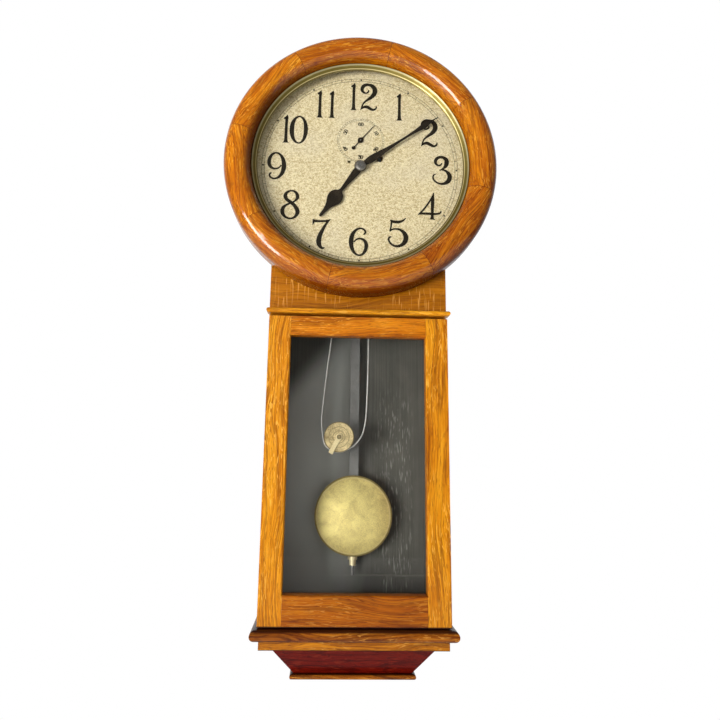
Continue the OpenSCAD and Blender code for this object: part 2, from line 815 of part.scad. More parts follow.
module dial_plate() {
    color([0.87, 0.8, 0.62]) difference() {
        union() {
            shaft(0, dial_z, dial_r, dial_back, dial_front);
            for (p = dial_feet) shaft(p[0], dial_z + p[1], 1.9, case_d - 2, dial_back + 0.2);
        }
        shaft(0, dial_z, dial_centre_r, dial_back - 1, dial_front + 1);
        shaft(drum_x, dial_z + drum_z, winding_hole_r, dial_back - 1, dial_front + 1);
        shaft(0, dial_z + seconds_z, seconds_hole_r, dial_back - 1, dial_front + 1);
        shaft(side_hole[0], dial_z + side_hole[1], side_hole_r, dial_back - 1, dial_front + 1);
    }
}

// Half outlines of the hands in hundredths of their length: distance from the centre, half width
minute_half = [[0, 2.5], [6.7, 2.7], [12, 3.7], [18, 3.7], [27, 2.8], [37, 1.9], [51, 1.2], [63, 1.3],
    [73, 1.9], [79, 2.7], [84, 2.7], [88, 1.6], [92.5, 0.9], [100, 0.2]];
hour_half = [[0, 5.4], [10, 5.6], [22, 4.6], [35, 3.3], [46.5, 2.6], [50, 3.9], [53, 7.6], [57.5, 10.5],
    [63, 11.3], [68.5, 10.2], [74, 7.2], [80.5, 4.6], [89, 2.8], [98, 2.1], [100, 1.2]];
seconds_half = [[-58, 0.5], [-56.5, 5], [-51, 8.4], [-45, 6], [-39, 2.4], [-28, 1.6], [-16, 2.4], [-12, 7],
    [-6, 11.6], [0, 13], [6, 11.6], [12, 7], [16, 2.4], [28, 1.6], [100, 0.8]];

// Smooth curve through points, with the given number of steps from each point to the next
function curve(p, steps) = concat([for (i = [0 : len(p) - 2]) for (k = [0 : steps - 1])
    let (t = k / steps, a = p[max(i - 1, 0)], b = p[i], c = p[i + 1], d = p[min(i + 2, len(p) - 1)])
    b + t * (c - a) / 2 + t * t * (2 * a - 5 * b + 4 * c - d) / 2 + t * t * t * (3 * b - a - 3 * c + d) / 2],
    [p[len(p) - 1]]);

// Mirrors a half outline about its length to make a symmetrical hand of the given length
function both_sides(half, length) = let (side = curve(half, 4) * length / 100)
    concat(side, [for (i = [len(side) - 1 : -1 : 0]) [side[i][0], -side[i][1]]]);

module hand(half, length, x, z, turn, bore, f0) {
    difference() {
        translate([x, 0, z]) forward(f0, f0 + hand_t) rotate(90 - turn) polygon(both_sides(half, length));
        shaft(x, z, bore, f0 - 1, f0 + hand_t + 1);
    }
}

module hand_boss(x, z, r, bore, f0, f1) {
    difference() {
        shaft(x, z, r, f0, f1);
        shaft(x, z, bore, f0 - 1, f1 + 1);
    }
}

module minute_hand() {
    color([0.08, 0.07, 0.07]) union() {
        hand(minute_half, minute_len, 0, dial_z, 6 * shown_minutes, centre_tip_r, minute_hand_f);
        hand_boss(0, dial_z, minute_boss_r, centre_tip_r, minute_hand_f, minute_hand_f + hand_t);
    }
}

module hour_hand() {
    color([0.08, 0.07, 0.07]) union() {
        hand(hour_half, hour_len, 0, dial_z, shown_minutes / 2 + hour_slip, hour_pipe_r, hour_hand_f);
        hand_boss(0, dial_z, hour_boss_r, hour_pipe_r, hour_hand_f, hour_hand_f + hand_t);
    }
}

module seconds_hand() {
    color([0.08, 0.07, 0.07])
        hand(seconds_half, seconds_len, 0, dial_z + seconds_z, 6 * shown_seconds, 0.9, seconds_hand_f);
}

module hand_nut() {
    color([0.5, 0.5, 0.5]) turned(0, dial_z) polygon(concat(
        [[centre_tip_r, nut_f], [nut_r, nut_f]], [for (i = [0 : 9]) let (a = 90 * i / 9)
            [centre_tip_r + (nut_r - centre_tip_r) * cos(a), nut_f + nut_rim + (nut_h - nut_rim) * sin(a)]]));
}

/* Movement */

module plate_outline() {
    c = 12;
    w = plate_half_w;
    polygon([[-w + c, plate_top_z], [w - c, plate_top_z], [w, plate_top_z - c], [w, c - plate_drop],
        [w - c, -plate_drop], [c - w, -plate_drop], [-w, c - plate_drop], [-w, plate_top_z - c]]);
}

pillar_places = [for (x = [-1, 1]) for (z = [plate_top_z - 10, 10 - plate_drop])
    [x * (plate_half_w - 10), z]];
post_places = [for (x = [-1, 1]) for (z = [plate_top_z - 26, 26 - plate_drop])
    [x * (plate_half_w - 16), z]];

module movement_plate(f0, holes) {
    difference() {
        translate([0, 0, dial_z]) forward(f0, f0 + plate_t) plate_outline();
        for (h = holes) shaft(h[0], dial_z + h[1], h[2], f0 - 1, f0 + plate_t + 1);
        for (p = pillar_places) shaft(p[0], dial_z + p[1], 2.2, f0 - 1, f0 + plate_t + 1);
    }
}

module back_plate() {
    color([0.72, 0.6, 0.3]) movement_plate(back_plate_f, concat(
        [[0, 0, pivot_r + running_fit], [drum_x, drum_z, 2 + running_fit],
        [third_x, third_z, pivot_r + running_fit], [0, seconds_z, pivot_r + running_fit],
        [0, pivot_z, 2 + running_fit], [stud_x, stud_z - dial_z, 1.4]],
        [for (p = post_places) [p[0], p[1], 2]]));
}

module front_plate() {
    color([0.72, 0.6, 0.3]) movement_plate(front_plate_f, [
        [0, 0, 2 + running_fit], [drum_x, drum_z, winding_arbor_r + running_fit],
        [third_x, third_z, pivot_r + running_fit], [0, seconds_z, arbor_r + running_fit],
        [0, pivot_z, pivot_r + running_fit], [stud_x, stud_z - dial_z, 1.4],
        [0, -motion_reach, minute_stud_r]]);
}

module plate_pillars() {
    color([0.72, 0.6, 0.3]) for (p = pillar_places) {
        shaft(p[0], dial_z + p[1], pillar_r, back_plate_front, front_plate_f);
        for (f = [back_plate_f - 1.6, front_plate_f]) shaft(p[0], dial_z + p[1], 2.2, f, f + plate_t + 1.6);
    }
}

module movement_posts() {
    color([0.3, 0.3, 0.32]) for (p = post_places) {
        shaft(p[0], dial_z + p[1], post_r, back_t, back_plate_f);
        shaft(p[0], dial_z + p[1], 2, back_plate_f, back_plate_front + 0.4);
    }
}

module wheel_at(x, z, f, t) {
    translate([x, 0, dial_z + z]) forward(f, f + t) children();
}

// Turn of a pinion so that a gap between its leaves faces a wheel tooth along the given direction
function gap_turn(direction, leaves) = direction + 180 / leaves;

module great_wheel() {
    color([0.75, 0.6, 0.28]) wheel_at(drum_x, drum_z, great_f, great_t)
        spoked_wheel(great_teeth, great_m, winding_arbor_r + running_fit, 5, drum_turn + 180);
}

ratchet_r = 8.2;
click_x = 16;

module click() {
    color([0.5, 0.5, 0.52]) {
        wheel_at(drum_x, drum_z, great_f + great_t, 1.6) rotate(70) difference() {
            polygon([[click_x - 2.4, -9.6], [click_x + 2.4, -9.6], [click_x + 2.4, -4], [click_x - 4, 1.6],
                [ratchet_r + 1.1, 4.2], [ratchet_r + 0.7, 2.6], [click_x - 4.4, -3.4]]);
            translate([click_x, -7]) circle(r = 1, $fn = 24);
        }
        shaft(drum_x + click_x * cos(70) + 7 * sin(70), dial_z + drum_z + click_x * sin(70) - 7 * cos(70), 1,
            great_f + great_t, great_f + great_t + 2.2);
    }
}

module ratchet_outline() {
    teeth = 24;
    polygon([for (i = [0 : teeth - 1]) for (p = [[ratchet_r, 0], [ratchet_r - 1.6, 0.08]])
        let (a = -360 * (i + p[1]) / teeth) [p[0] * cos(a), p[0] * sin(a)]]);
}

module winding_drum() {
    color([0.75, 0.6, 0.28]) difference() {
        union() {
            wheel_at(drum_x, drum_z, great_f + great_t + 0.2, 1.5) ratchet_outline();
            turned(drum_x, dial_z + drum_z) polygon([[0, great_f + great_t + 1], [6, great_f + great_t + 1],
                [6, drum_f - flange_t], [flange_r, drum_f - flange_t], [flange_r, drum_f], [drum_r, drum_f],
                [drum_r, drum_f + drum_len], [flange_r, drum_f + drum_len],
                [flange_r, drum_f + drum_len + flange_t], [0, drum_f + drum_len + flange_t]]);
        }
        shaft(drum_x, dial_z + drum_z, winding_arbor_r, great_f, front_plate_f);
    }
}

module winding_arbor() {
    color([0.55, 0.55, 0.57]) {
        turned(drum_x, dial_z + drum_z) polygon([[0, back_plate_f - 0.5], [2, back_plate_f - 0.5],
            [2, back_plate_front + 0.2], [winding_arbor_r, back_plate_front + 0.2],
            [winding_arbor_r, front_plate_front + 3], [0, front_plate_front + 3]]);
        wheel_at(drum_x, drum_z, front_plate_front + 3, backing_front - front_plate_front - 3.4)
            square(4, center = true);
    }
}

module centre_arbor() {
    color([0.55, 0.55, 0.57]) difference() {
        union() {
            turned(0, dial_z) polygon([[0, back_plate_f - 0.5], [pivot_r, back_plate_f - 0.5],
                [pivot_r, back_plate_front + 0.2], [1.3, back_plate_front + 0.2],
                [1.3, great_f + great_t + 2], [2, great_f + great_t + 2], [2, front_plate_front + 0.3],
                [centre_tip_r, front_plate_front + 0.3], [centre_tip_r, nut_f + nut_h - 0.4],
                [0, nut_f + nut_h - 0.4]]);
            wheel_at(0, 0, great_f - 1, great_t + 2) rotate(gap_turn(drum_turn, centre_leaves))
                pinion_outline(centre_leaves, great_m);
        }
    }
}

third_turn = atan2(third_z, third_x);
escape_turn = atan2(seconds_z - third_z, -third_x);

module centre_wheel() {
    color([0.75, 0.6, 0.28]) wheel_at(0, 0, centre_wheel_f, wheel_t)
        spoked_wheel(centre_teeth, centre_m, 2, 5, third_turn);
}

module third_arbor() {
    color([0.55, 0.55, 0.57]) union() {
        turned(third_x, dial_z + third_z) polygon([[0, back_plate_f - 0.3], [pivot_r, back_plate_f - 0.3],
            [pivot_r, back_plate_front + 0.2], [arbor_r, back_plate_front + 0.2],
            [arbor_r, front_plate_f - 0.2], [pivot_r, front_plate_f - 0.2],
            [pivot_r, front_plate_front + 0.3], [0, front_plate_front + 0.3]]);
        wheel_at(third_x, third_z, centre_wheel_f - 1, wheel_t + 2)
            rotate(gap_turn(third_turn + 180, third_leaves)) pinion_outline(third_leaves, centre_m);
    }
}

module third_wheel() {
    color([0.75, 0.6, 0.28]) wheel_at(third_x, third_z, third_wheel_f, wheel_t)
        spoked_wheel(third_teeth, third_m, arbor_r, 5, escape_turn);
}

module escape_arbor() {
    color([0.55, 0.55, 0.57]) union() {
        turned(0, dial_z + seconds_z) polygon([[0, back_plate_f - 0.3], [pivot_r, back_plate_f - 0.3],
            [pivot_r, back_plate_front + 0.2], [arbor_r, back_plate_front + 0.2],
            [arbor_r, front_plate_front + 0.5], [0.9, front_plate_front + 0.5],
            [0.9, seconds_hand_f + hand_t + 0.4], [0, seconds_hand_f + hand_t + 0.4]]);
        wheel_at(0, seconds_z, third_wheel_f - 1, wheel_t + 2)
            rotate(gap_turn(escape_turn + 180, escape_leaves)) pinion_outline(escape_leaves, third_m);
    }
}

module escape_wheel() {
    s = 360 / escape_teeth;
    color([0.78, 0.64, 0.3]) wheel_at(0, seconds_z, escape_wheel_f, wheel_t) difference() {
        polygon([for (i = [0 : escape_teeth - 1])
            for (p = [[escape_r - 3, 0.1], [escape_r, -0.25], [escape_r, -0.33], [escape_r - 3, -0.45]])
                [p[0] * cos(s * (i - p[1])), p[0] * sin(s * (i - p[1]))]]);
        circle(r = arbor_r, $fn = 48);
        for (k = [0 : 4]) rotate(72 * k + 36) polygon(concat(
            arc(0, 0, escape_r - 5.4, -28, 28, 8), arc(0, 0, 5, 12, -12, 3)));
    }
}

// Anchor whose pallets stand clear of the wheel through the whole swing
module pallets() {
    clear_r = escape_r + 1.8;
    color([0.5, 0.5, 0.53]) {
        difference() {
            wheel_at(0, pivot_z, escape_wheel_f - 1, wheel_t + 2) difference() {
                union() {
                    circle(r = 5, $fn = 48);
                    for (s = [-1, 1]) polygon([for (p = [[0, 4.6], [9, 1], [19, -8], [22, -15], [20.5, -20],
                        [16, -18], [16.5, -13], [9, -5], [0, -4.6]]) [s * p[0], p[1]]]);
                }
                translate([0, seconds_z - pivot_z]) circle(r = clear_r, $fn = 96);
                circle(r = 2, $fn = 48);
            }
        }
        turned(0, dial_z + pivot_z) polygon([[0, back_plate_f - 7], [2, back_plate_f - 7],
            [2, front_plate_f - 0.2], [pivot_r, front_plate_f - 0.2], [pivot_r, front_plate_front + 0.3],
            [0, front_plate_front + 0.3]]);
    }
}

crutch_f = back_plate_f - 6.5;
crutch_reach = 70;

module crutch() {
    gap = rod_w / 2 + 0.3;
    color([0.72, 0.58, 0.28]) {
        difference() {
            wheel_at(0, pivot_z, crutch_f, 2) union() {
                circle(r = 4.5, $fn = 48);
                translate([-1.8, -crutch_reach]) square([3.6, crutch_reach - 3]);
                translate([-gap - 2, -crutch_reach - 2]) square([2 * gap + 4, 4]);
            }
            shaft(0, dial_z + pivot_z, 2, crutch_f - 1, crutch_f + 3);
        }
        for (s = [-1, 1]) scale([s, 1, 1])
            slab(gap, gap + 2, rod_f - rod_t / 2, crutch_f, dial_z + pivot_z - crutch_reach - 2,
                dial_z + pivot_z - crutch_reach + 2);
    }
}

module cannon_pinion() {
    color([0.6, 0.6, 0.6]) difference() {
        union() {
            wheel_at(0, 0, motion_f, 2.6) rotate(gap_turn(-90, cannon_leaves))
                pinion_outline(cannon_leaves, motion_m);
            shaft(0, dial_z, cannon_r, motion_f + 2.6, minute_hand_f);
            shaft(0, dial_z, cannon_r, front_plate_front + 0.4, motion_f);
        }
        shaft(0, dial_z, centre_tip_r, front_plate_front, minute_hand_f + 1);
    }
}

module minute_wheel() {
    color([0.75, 0.6, 0.28]) difference() {
        union() {
            wheel_at(0, -motion_reach, motion_f + 0.4, 1.4) rotate(90) wheel_outline(minute_teeth, motion_m);
            wheel_at(0, -motion_reach, motion_f + 1.8, 4.2) rotate(gap_turn(90, minute_leaves))
                pinion_outline(minute_leaves, hour_m);
        }
        shaft(0, dial_z - motion_reach, minute_stud_r + running_fit, motion_f, motion_f + 8);
    }
}

module hour_wheel() {
    color([0.75, 0.6, 0.28]) difference() {
        union() {
            wheel_at(0, 0, hour_f + 0.6, 1.4) rotate(-90) wheel_outline(hour_teeth, hour_m);
            shaft(0, dial_z, hour_pipe_r, hour_f + 2, hour_hand_f + hand_t + 0.3);
        }
        shaft(0, dial_z, cannon_r + running_fit, hour_f, minute_hand_f);
    }
}

/* Pendulum */

module suspension_cock() {
    z = dial_z + pivot_z;
    color([0.7, 0.57, 0.28]) difference() {
        union() {
            slab(-14, 14, back_t, back_t + 3, z - 12, z + 20);
            slab(-6, 6, back_t + 3, rod_f + 5.4, z + 1, z + 12);
        }
        slab(-0.9, 0.9, rod_f - spring_w / 2 - 0.5, rod_f + 7, z, z + 6);
    }
}

module suspension_spring() {
    z = dial_z + pivot_z;
    color([0.45, 0.5, 0.6]) slab(-spring_t / 2, spring_t / 2, rod_f - spring_w / 2, rod_f + spring_w / 2,
        rod_top + 4, z + 5);
}

module pendulum_rod() {
    color([0.25, 0.25, 0.25]) union() {
        slab(-rod_w / 2, rod_w / 2, rod_f - rod_t / 2, rod_f + rod_t / 2, rod_foot, rod_top);
        slab(-3, 3, rod_f - 5, rod_f + 5, rod_top - 1, rod_top + 4);
        upright(0, rod_f, rating_r, bob_z - bob_r - 24, rod_foot + 1);
    }
}

module bob() {
    rim = 1.5;
    bulge = bob_t / 2 - rim;
    front = [for (i = [0 : 12]) let (u = i / 12)
        [bob_r * (1 - u), bob_f + rim + bulge * (1 - pow(1 - u, 2))]];
    rear = [for (i = [12 : -1 : 0]) let (u = i / 12)
        [bob_r * (1 - u), bob_f - rim - bulge * (1 - pow(1 - u, 2))]];
    color([0.72, 0.6, 0.3]) difference() {
        turned(0, bob_z) polygon(concat(front, rear));
        slab(-rod_w / 2 - 0.1, rod_w / 2 + 0.1, rod_f - 15, rod_f + rod_t / 2 + 0.1,
            rod_foot - rating_travel - 1,
            bob_z + bob_r + 1);
        upright(0, rod_f, rating_r + 0.1, bob_z - bob_r - 1, rod_foot + 1);
    }
}

module rating_nuts() {
    color([0.75, 0.6, 0.25]) {
        difference() {
            upright(0, rod_f, 6.2, bob_z - bob_r - 0.2 - rating_nut_h, bob_z - bob_r - 0.2);
            upright(0, rod_f, rating_r, bob_z - bob_r - 10, bob_z);
        }
        difference() {
            upright(0, rod_f, 4.4, bob_z - bob_r - 0.6 - 2 * rating_nut_h - 3,
                bob_z - bob_r - 0.6 - rating_nut_h);
            upright(0, rod_f, rating_r, bob_z - bob_r - 24, bob_z);
        }
    }
}

/* Cable and pulley */

function unit(v) = v / norm(v);

// Route of the cable, seen from the front: from the stud down, under the pulley and up to the drum
cable_down = [[stud_x, stud_z], [-24.6, dial_z - 70], [-28.5, dial_z - 160], [-35.5, dial_z - 235],
    [-42, dial_z - 278], [-45, dial_z - 310]];
wrap_r = groove_r + cable_r + 0.1;
wrap_turns = [168, 332];
bend_steps = 14;
cable_bend = [for (i = [0 : bend_steps])
    let (a = wrap_turns[0] + (wrap_turns[1] - wrap_turns[0]) * i / bend_steps)
    [pulley_x + wrap_r * cos(a), pulley_z + wrap_r * sin(a)]];
cable_up = [[5, dial_z - 362], [11, dial_z - 348], [13.6, dial_z - 325], [14.6, dial_z - 278],
    [15.2, dial_z - 234], [15.8, dial_z - 120], [drum_x - drum_r - cable_r - 0.2, dial_z - 30],
    [drum_x - drum_r - cable_r - 0.2, dial_z + drum_z]];
down_route = concat(cable_down, [[-44.6, dial_z - 340], [-41.6, dial_z - 356], cable_bend[0]]);
up_route = concat([cable_bend[bend_steps]], cable_up);
cable_sides = 8;

// Tube swept along a route with a ring at each of its points, square to the way from the point before to the
// point after, so that two stretches of cable share the ring where they meet
module cable_tube(before, route, after) {
    n = len(route);
    path = concat([before], route, [after]);
    heading = [for (i = [0 : n - 1]) unit(path[i + 2] - path[i])];
    points = [for (i = [0 : n - 1]) for (k = [0 : cable_sides - 1])
        let (a = 360 * k / cable_sides, u = cable_r * cos(a), v = cable_r * sin(a))
        [route[i][0] + u * heading[i][1], -pulley_f - v, route[i][1] - u * heading[i][0]]];
    walls = [for (i = [0 : n - 2]) for (k = [0 : cable_sides - 1])
        let (a = i * cable_sides + k, b = i * cable_sides + (k + 1) % cable_sides)
        for (t = [[a, b, b + cable_sides], [a, b + cable_sides, a + cable_sides]]) t];
    caps = [[for (k = [cable_sides - 1 : -1 : 0]) k],
        [for (k = [0 : cable_sides - 1]) (n - 1) * cable_sides + k]];
    polyhedron(points, concat(walls, caps));
}

module cable_fall() {
    color([0.75, 0.75, 0.75]) cable_tube(down_route[0], down_route, cable_bend[1]);
}

module cable_wrap() {
    color([0.75, 0.75, 0.75]) cable_tube(down_route[len(down_route) - 2], cable_bend, up_route[1]);
}

module cable_rise() {
    color([0.75, 0.75, 0.75]) cable_tube(cable_bend[bend_steps - 1], up_route, up_route[len(up_route) - 1]);
}

// Steel studs riveted into the plates: one ties the cable, one carries the minute wheel
module plate_studs() {
    color([0.55, 0.55, 0.57]) {
        turned(stud_x, stud_z) polygon([[0, back_plate_f], [1.4, back_plate_f], [1.4, back_plate_front],
            [stud_r, back_plate_front], [stud_r, front_plate_f], [1.4, front_plate_f],
            [1.4, front_plate_front],
            [0, front_plate_front]]);
        turned(0, dial_z - motion_reach) polygon([[0, front_plate_f], [minute_stud_r, front_plate_f],
            [minute_stud_r, front_plate_front], [2.2, front_plate_front], [2.2, motion_f + 0.3],
            [minute_stud_r, motion_f + 0.3], [minute_stud_r, motion_f + 6.6], [0, motion_f + 6.6]]);
    }
}

axle_r = 2;

module pulley() {
    h = pulley_w / 2;
    color([0.72, 0.58, 0.3]) turned(pulley_x, pulley_z) polygon([[axle_r + running_fit, pulley_f - h],
        [pulley_r, pulley_f - h], [pulley_r, pulley_f - h + 0.9], [groove_r, pulley_f - cable_r],
        [groove_r, pulley_f + cable_r], [pulley_r, pulley_f + h - 0.9], [pulley_r, pulley_f + h],
        [axle_r + running_fit, pulley_f + h]]);
}

module pulley_axle() {
    h = pulley_w / 2 + 0.6 + strap_t;
    color([0.6, 0.6, 0.62]) {
        shaft(pulley_x, pulley_z, axle_r, pulley_f - h - 0.3, pulley_f + h + 0.3);
        for (f = [pulley_f - h - 1.3, pulley_f + h + 0.3]) shaft(pulley_x, pulley_z, 3, f, f + 1);
    }
}

// Strap bent round the pulley, with an eye at each end for the axle
module stirrup() {
    h = pulley_w / 2 + 0.6;
    reach = pulley_r + 3;
    color([0.74, 0.6, 0.32]) translate([pulley_x, 0, pulley_z]) rotate([0, strap_lean, 0]) {
        for (f = [pulley_f - h - strap_t, pulley_f + h]) difference() {
            union() {
                shaft(0, 0, 4.5, f, f + strap_t);
                slab(-3, 3, f, f + strap_t, -reach, 0);
            }
            shaft(0, 0, axle_r + running_fit, f - 1, f + strap_t + 1);
        }
        difference() {
            slab(-3, 3, pulley_f - h - strap_t, pulley_f + h + strap_t, -reach - strap_t, -reach);
            upright(0, pulley_f, 1.2, -reach - 2, -reach + 1);
        }
    }
}

back_board();
case_sides();
top_board();
base_board();
fascia_frame();
taper_boards();
foot_board();
neck_panel();
waist_moulding();
stop_rails();
hanger_plate();
door_stiles();
door_rails();
door_glass();
glazing_beads();
door_hinge_leaves();
case_hinge_leaves();
door_catch();
dial_catch();
dial_ring();
sight_ring();
dial_glass();
ring_hinge_leaves();
dial_backing();
dial_plate();
minute_hand();
hour_hand();
seconds_hand();
hand_nut();
back_plate();
front_plate();
plate_pillars();
movement_posts();
great_wheel();
click();
winding_drum();
winding_arbor();
centre_arbor();
centre_wheel();
cannon_pinion();
minute_wheel();
hour_wheel();
third_arbor();
third_wheel();
escape_arbor();
escape_wheel();
pallets();
crutch();
suspension_cock();
suspension_spring();
pendulum_rod();
bob();
rating_nuts();
plate_studs();
cable_fall();
cable_wrap();
cable_rise();
pulley();
pulley_axle();
stirrup();
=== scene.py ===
"""Looks of a weight-driven wall regulator: oak case, printed dial, brass and steel work, twisted cable."""

import logging
import math
from collections.abc import Sequence
from dataclasses import dataclass
from enum import Enum

import bmesh
import bpy
from mathutils import Matrix, Vector


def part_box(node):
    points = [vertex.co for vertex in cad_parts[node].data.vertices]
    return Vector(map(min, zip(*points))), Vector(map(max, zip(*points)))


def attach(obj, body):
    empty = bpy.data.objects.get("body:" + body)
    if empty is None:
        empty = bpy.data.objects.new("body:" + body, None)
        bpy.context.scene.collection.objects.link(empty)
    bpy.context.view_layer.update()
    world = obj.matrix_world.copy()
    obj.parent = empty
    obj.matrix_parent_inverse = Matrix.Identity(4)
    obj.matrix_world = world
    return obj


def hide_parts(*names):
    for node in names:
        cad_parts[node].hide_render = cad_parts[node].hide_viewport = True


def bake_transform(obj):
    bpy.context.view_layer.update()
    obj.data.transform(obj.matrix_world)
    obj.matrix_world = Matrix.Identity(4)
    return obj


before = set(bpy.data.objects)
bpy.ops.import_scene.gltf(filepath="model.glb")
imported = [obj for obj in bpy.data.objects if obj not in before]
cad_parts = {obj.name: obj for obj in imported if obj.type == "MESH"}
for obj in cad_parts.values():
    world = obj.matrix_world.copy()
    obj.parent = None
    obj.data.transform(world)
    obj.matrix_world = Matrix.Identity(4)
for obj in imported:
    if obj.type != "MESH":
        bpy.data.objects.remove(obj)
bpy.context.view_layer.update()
LOG = logging.getLogger("regulator")
MM = 0.001
Pair = tuple[float, float]
Colour = tuple[float, float, float]
Stop = tuple[float, Colour]

# In millimetres in the shared frame: height of the dial's centre, and y of the front edges of the case's sides.
DIAL_HEIGHT = -110.0
SIDE_FRONT = -88.0

# In metres: reach within which points are welded, and nearest distance that the camera shows.
WELD_REACH = 0.00001
CLIP_START = 0.01

SHARP_EDGE = math.radians(40)
WHITE = (1.0, 1.0, 1.0)
# Dark colour painted as shade into corners and gaps between boards.
CORNER_SHADE = (0.022, 0.003, 0.001)


# Shader building


class Value:
    """A shader socket on which arithmetic adds Math nodes."""

    def __init__(self, shader: "Shader", socket: bpy.types.NodeSocket) -> None:
        """Keeps the socket and the shader that it belongs to."""
        self.shader = shader
        self.socket = socket

    def __add__(self, other: "Number") -> "Value":
        """Sum."""
        return self.shader.math("ADD", self, other)

    def __sub__(self, other: "Number") -> "Value":
        """Difference."""
        return self.shader.math("SUBTRACT", self, other)

    def __rsub__(self, other: "Number") -> "Value":
        """Difference from a number."""
        return self.shader.math("SUBTRACT", other, self)

    def __mul__(self, other: "Number") -> "Value":
        """Product."""
        return self.shader.math("MULTIPLY", self, other)

    def __truediv__(self, other: "Number") -> "Value":
        """Quotient."""
        return self.shader.math("DIVIDE", self, other)

    def __neg__(self) -> "Value":
        """The same size with the other sign."""
        return self * -1.0

    def __abs__(self) -> "Value":
        """Size without sign."""
        return self.shader.math("ABSOLUTE", self)

    __radd__ = __add__
    __rmul__ = __mul__


Number = Value | float
Tint = Value | Colour


class Shader:
    """One node material, with short calls for the nodes that the finishes use."""

    def __init__(self, name: str, tree: bpy.types.NodeTree | None = None) -> None:
        """Starts an empty material with its output.

        Args:
            name: Name of the material.
            tree: The world's node tree, which is emptied and used in place of a material's.
        """
        self.material = None if tree else bpy.data.materials.new(name)
        if self.material:
            self.material.use_nodes = True
        self.tree = tree or self.material.node_tree
        self.tree.nodes.clear()
        self.output = self.node("ShaderNodeOutputWorld" if tree else "ShaderNodeOutputMaterial")

    def node(self, kind: str, settings: dict | None = None, inputs: dict | None = None) -> bpy.types.Node:
        """Adds any node.

        Args:
            kind: Blender's node type.
            settings: Attributes set first, such as a Math node's operation; "stops" fills a colour ramp.
            inputs: Values or links of the node's sockets, by name or index.

        Returns:
            The new node.
        """
        made = self.tree.nodes.new(kind)
        for key, setting in (settings or {}).items():
            if key == "stops":
                elements = made.color_ramp.elements
                while len(elements) < len(setting):
                    elements.new(0.5)
                for element, (place, colour) in zip(elements, setting):
                    element.position = place
                    element.color = (*colour, 1.0)
            else:
                setattr(made, key, setting)
        for key, given in (inputs or {}).items():
            socket = made.inputs[key]
            if isinstance(given, Value):
                self.tree.links.new(given.socket, socket)
            else:
                socket.default_value = (*given, 1.0) if socket.type == "RGBA" else given
        return made

    def out(self, made: bpy.types.Node, name: str | int = 0) -> Value:
        """An output of a node as a value."""
        return Value(self, made.outputs[name])

    def close(self, factor: Value, first: bpy.types.Node, second: bpy.types.Node) -> None:
        """Ends the tree with a mix of two shaders."""
        both = self.node("ShaderNodeMixShader", None, {0: factor, 1: self.out(first), 2: self.out(second)})
        self.tree.links.new(both.outputs[0], self.output.inputs[0])

    def math(self, operation: str, first: Number, second: Number | None = None) -> Value:
        """A Math node on one or two numbers."""
        inputs = {0: first} if second is None else {0: first, 1: second}
        return self.out(self.node("ShaderNodeMath", {"operation": operation}, inputs))

    def place(self) -> tuple[Value, Value, Value]:
        """Finds the place on the piece in the shared frame.

        Returns:
            Its three coordinates in millimetres.
        """
        coordinates = self.node("ShaderNodeTexCoord")
        scaled = self.node("ShaderNodeVectorMath", {"operation": "SCALE"},
                           {0: self.out(coordinates, "Object"), "Scale": 1 / MM})
        split = self.node("ShaderNodeSeparateXYZ", None, {0: self.out(scaled)})
        return self.out(split, 0), self.out(split, 1), self.out(split, 2)

    def noise(self, x: Number, y: Number, z: Number, detail: float = 2.0, rough: float = 0.5,
              bend: float = 0.0) -> Value:
        """Adds noise.

        Args:
            x: First coordinate, already scaled.
            y: Second coordinate.
            z: Third coordinate.
            detail: How many finer layers lie on it.
            rough: Strength of the finer layers.
            bend: How far it is bent by itself.

        Returns:
            The noise, between 0 and 1.
        """
        where = self.out(self.node("ShaderNodeCombineXYZ", None, {0: x, 1: y, 2: z}))
        return self.out(self.node("ShaderNodeTexNoise", None, {
            "Vector": where, "Scale": 1.0, "Detail": detail, "Roughness": rough, "Distortion": bend}))

    def step(self, value: Number, low: float, high: float) -> Value:
        """Rises smoothly from 0 at low to 1 at high."""
        return self.out(self.node("ShaderNodeMapRange", {"interpolation_type": "SMOOTHSTEP"},
                                  {"Value": value, "From Min": low, "From Max": high}))

    def fall(self, value: Number, low: float, high: float) -> Value:
        """Falls smoothly from 1 at low to 0 at high."""
        return 1.0 - self.step(value, low, high)

    def ramp(self, value: Value, stops: Sequence[Stop]) -> Value:
        """Colour from a value by stops."""
        return self.out(self.node("ShaderNodeValToRGB", {"stops": stops}, {0: value}))

    def mix(self, factor: Number, first: Tint, second: Tint, blend: str = "MIX") -> Value:
        """Mixes two colours by the share of the second."""
        return self.out(self.node("ShaderNodeMix", {"data_type": "RGBA", "blend_type": blend},
                                  {0: factor, 6: first, 7: second}), 2)

    def paint(self, colour: Tint, *coats: tuple[Number, Tint]) -> Value:
        """Lays coats over a colour.

        Args:
            colour: The colour below them.
            coats: Cover and colour of each coat, the lowest first.

        Returns:
            The colour that shows.
        """
        for cover, coat in coats:
            colour = self.mix(cover, colour, coat)
        return colour

    def bump(self, height: Value, depth: float) -> Value:
        """Surface normal from a height between 0 and 1; depth is in millimetres."""
        return self.out(self.node("ShaderNodeBump", None, {
            "Strength": 1.0, "Distance": depth * MM, "Height": height}))

    def surface(self, **inputs: Number | Colour) -> bpy.types.Material:
        """Closes the material with one Principled shader.

        Args:
            inputs: Values or links of its sockets, with underscores in place of spaces.

        Returns:
            The material.
        """
        named = {key.replace("_", " "): given for key, given in inputs.items()}
        shader = self.node("ShaderNodeBsdfPrincipled", None, named)
        self.tree.links.new(shader.outputs[0], self.output.inputs[0])
        return self.material


class Grain(Enum):
    """Direction in which the wood's fibres run."""

    UP = "up"
    ACROSS = "across"


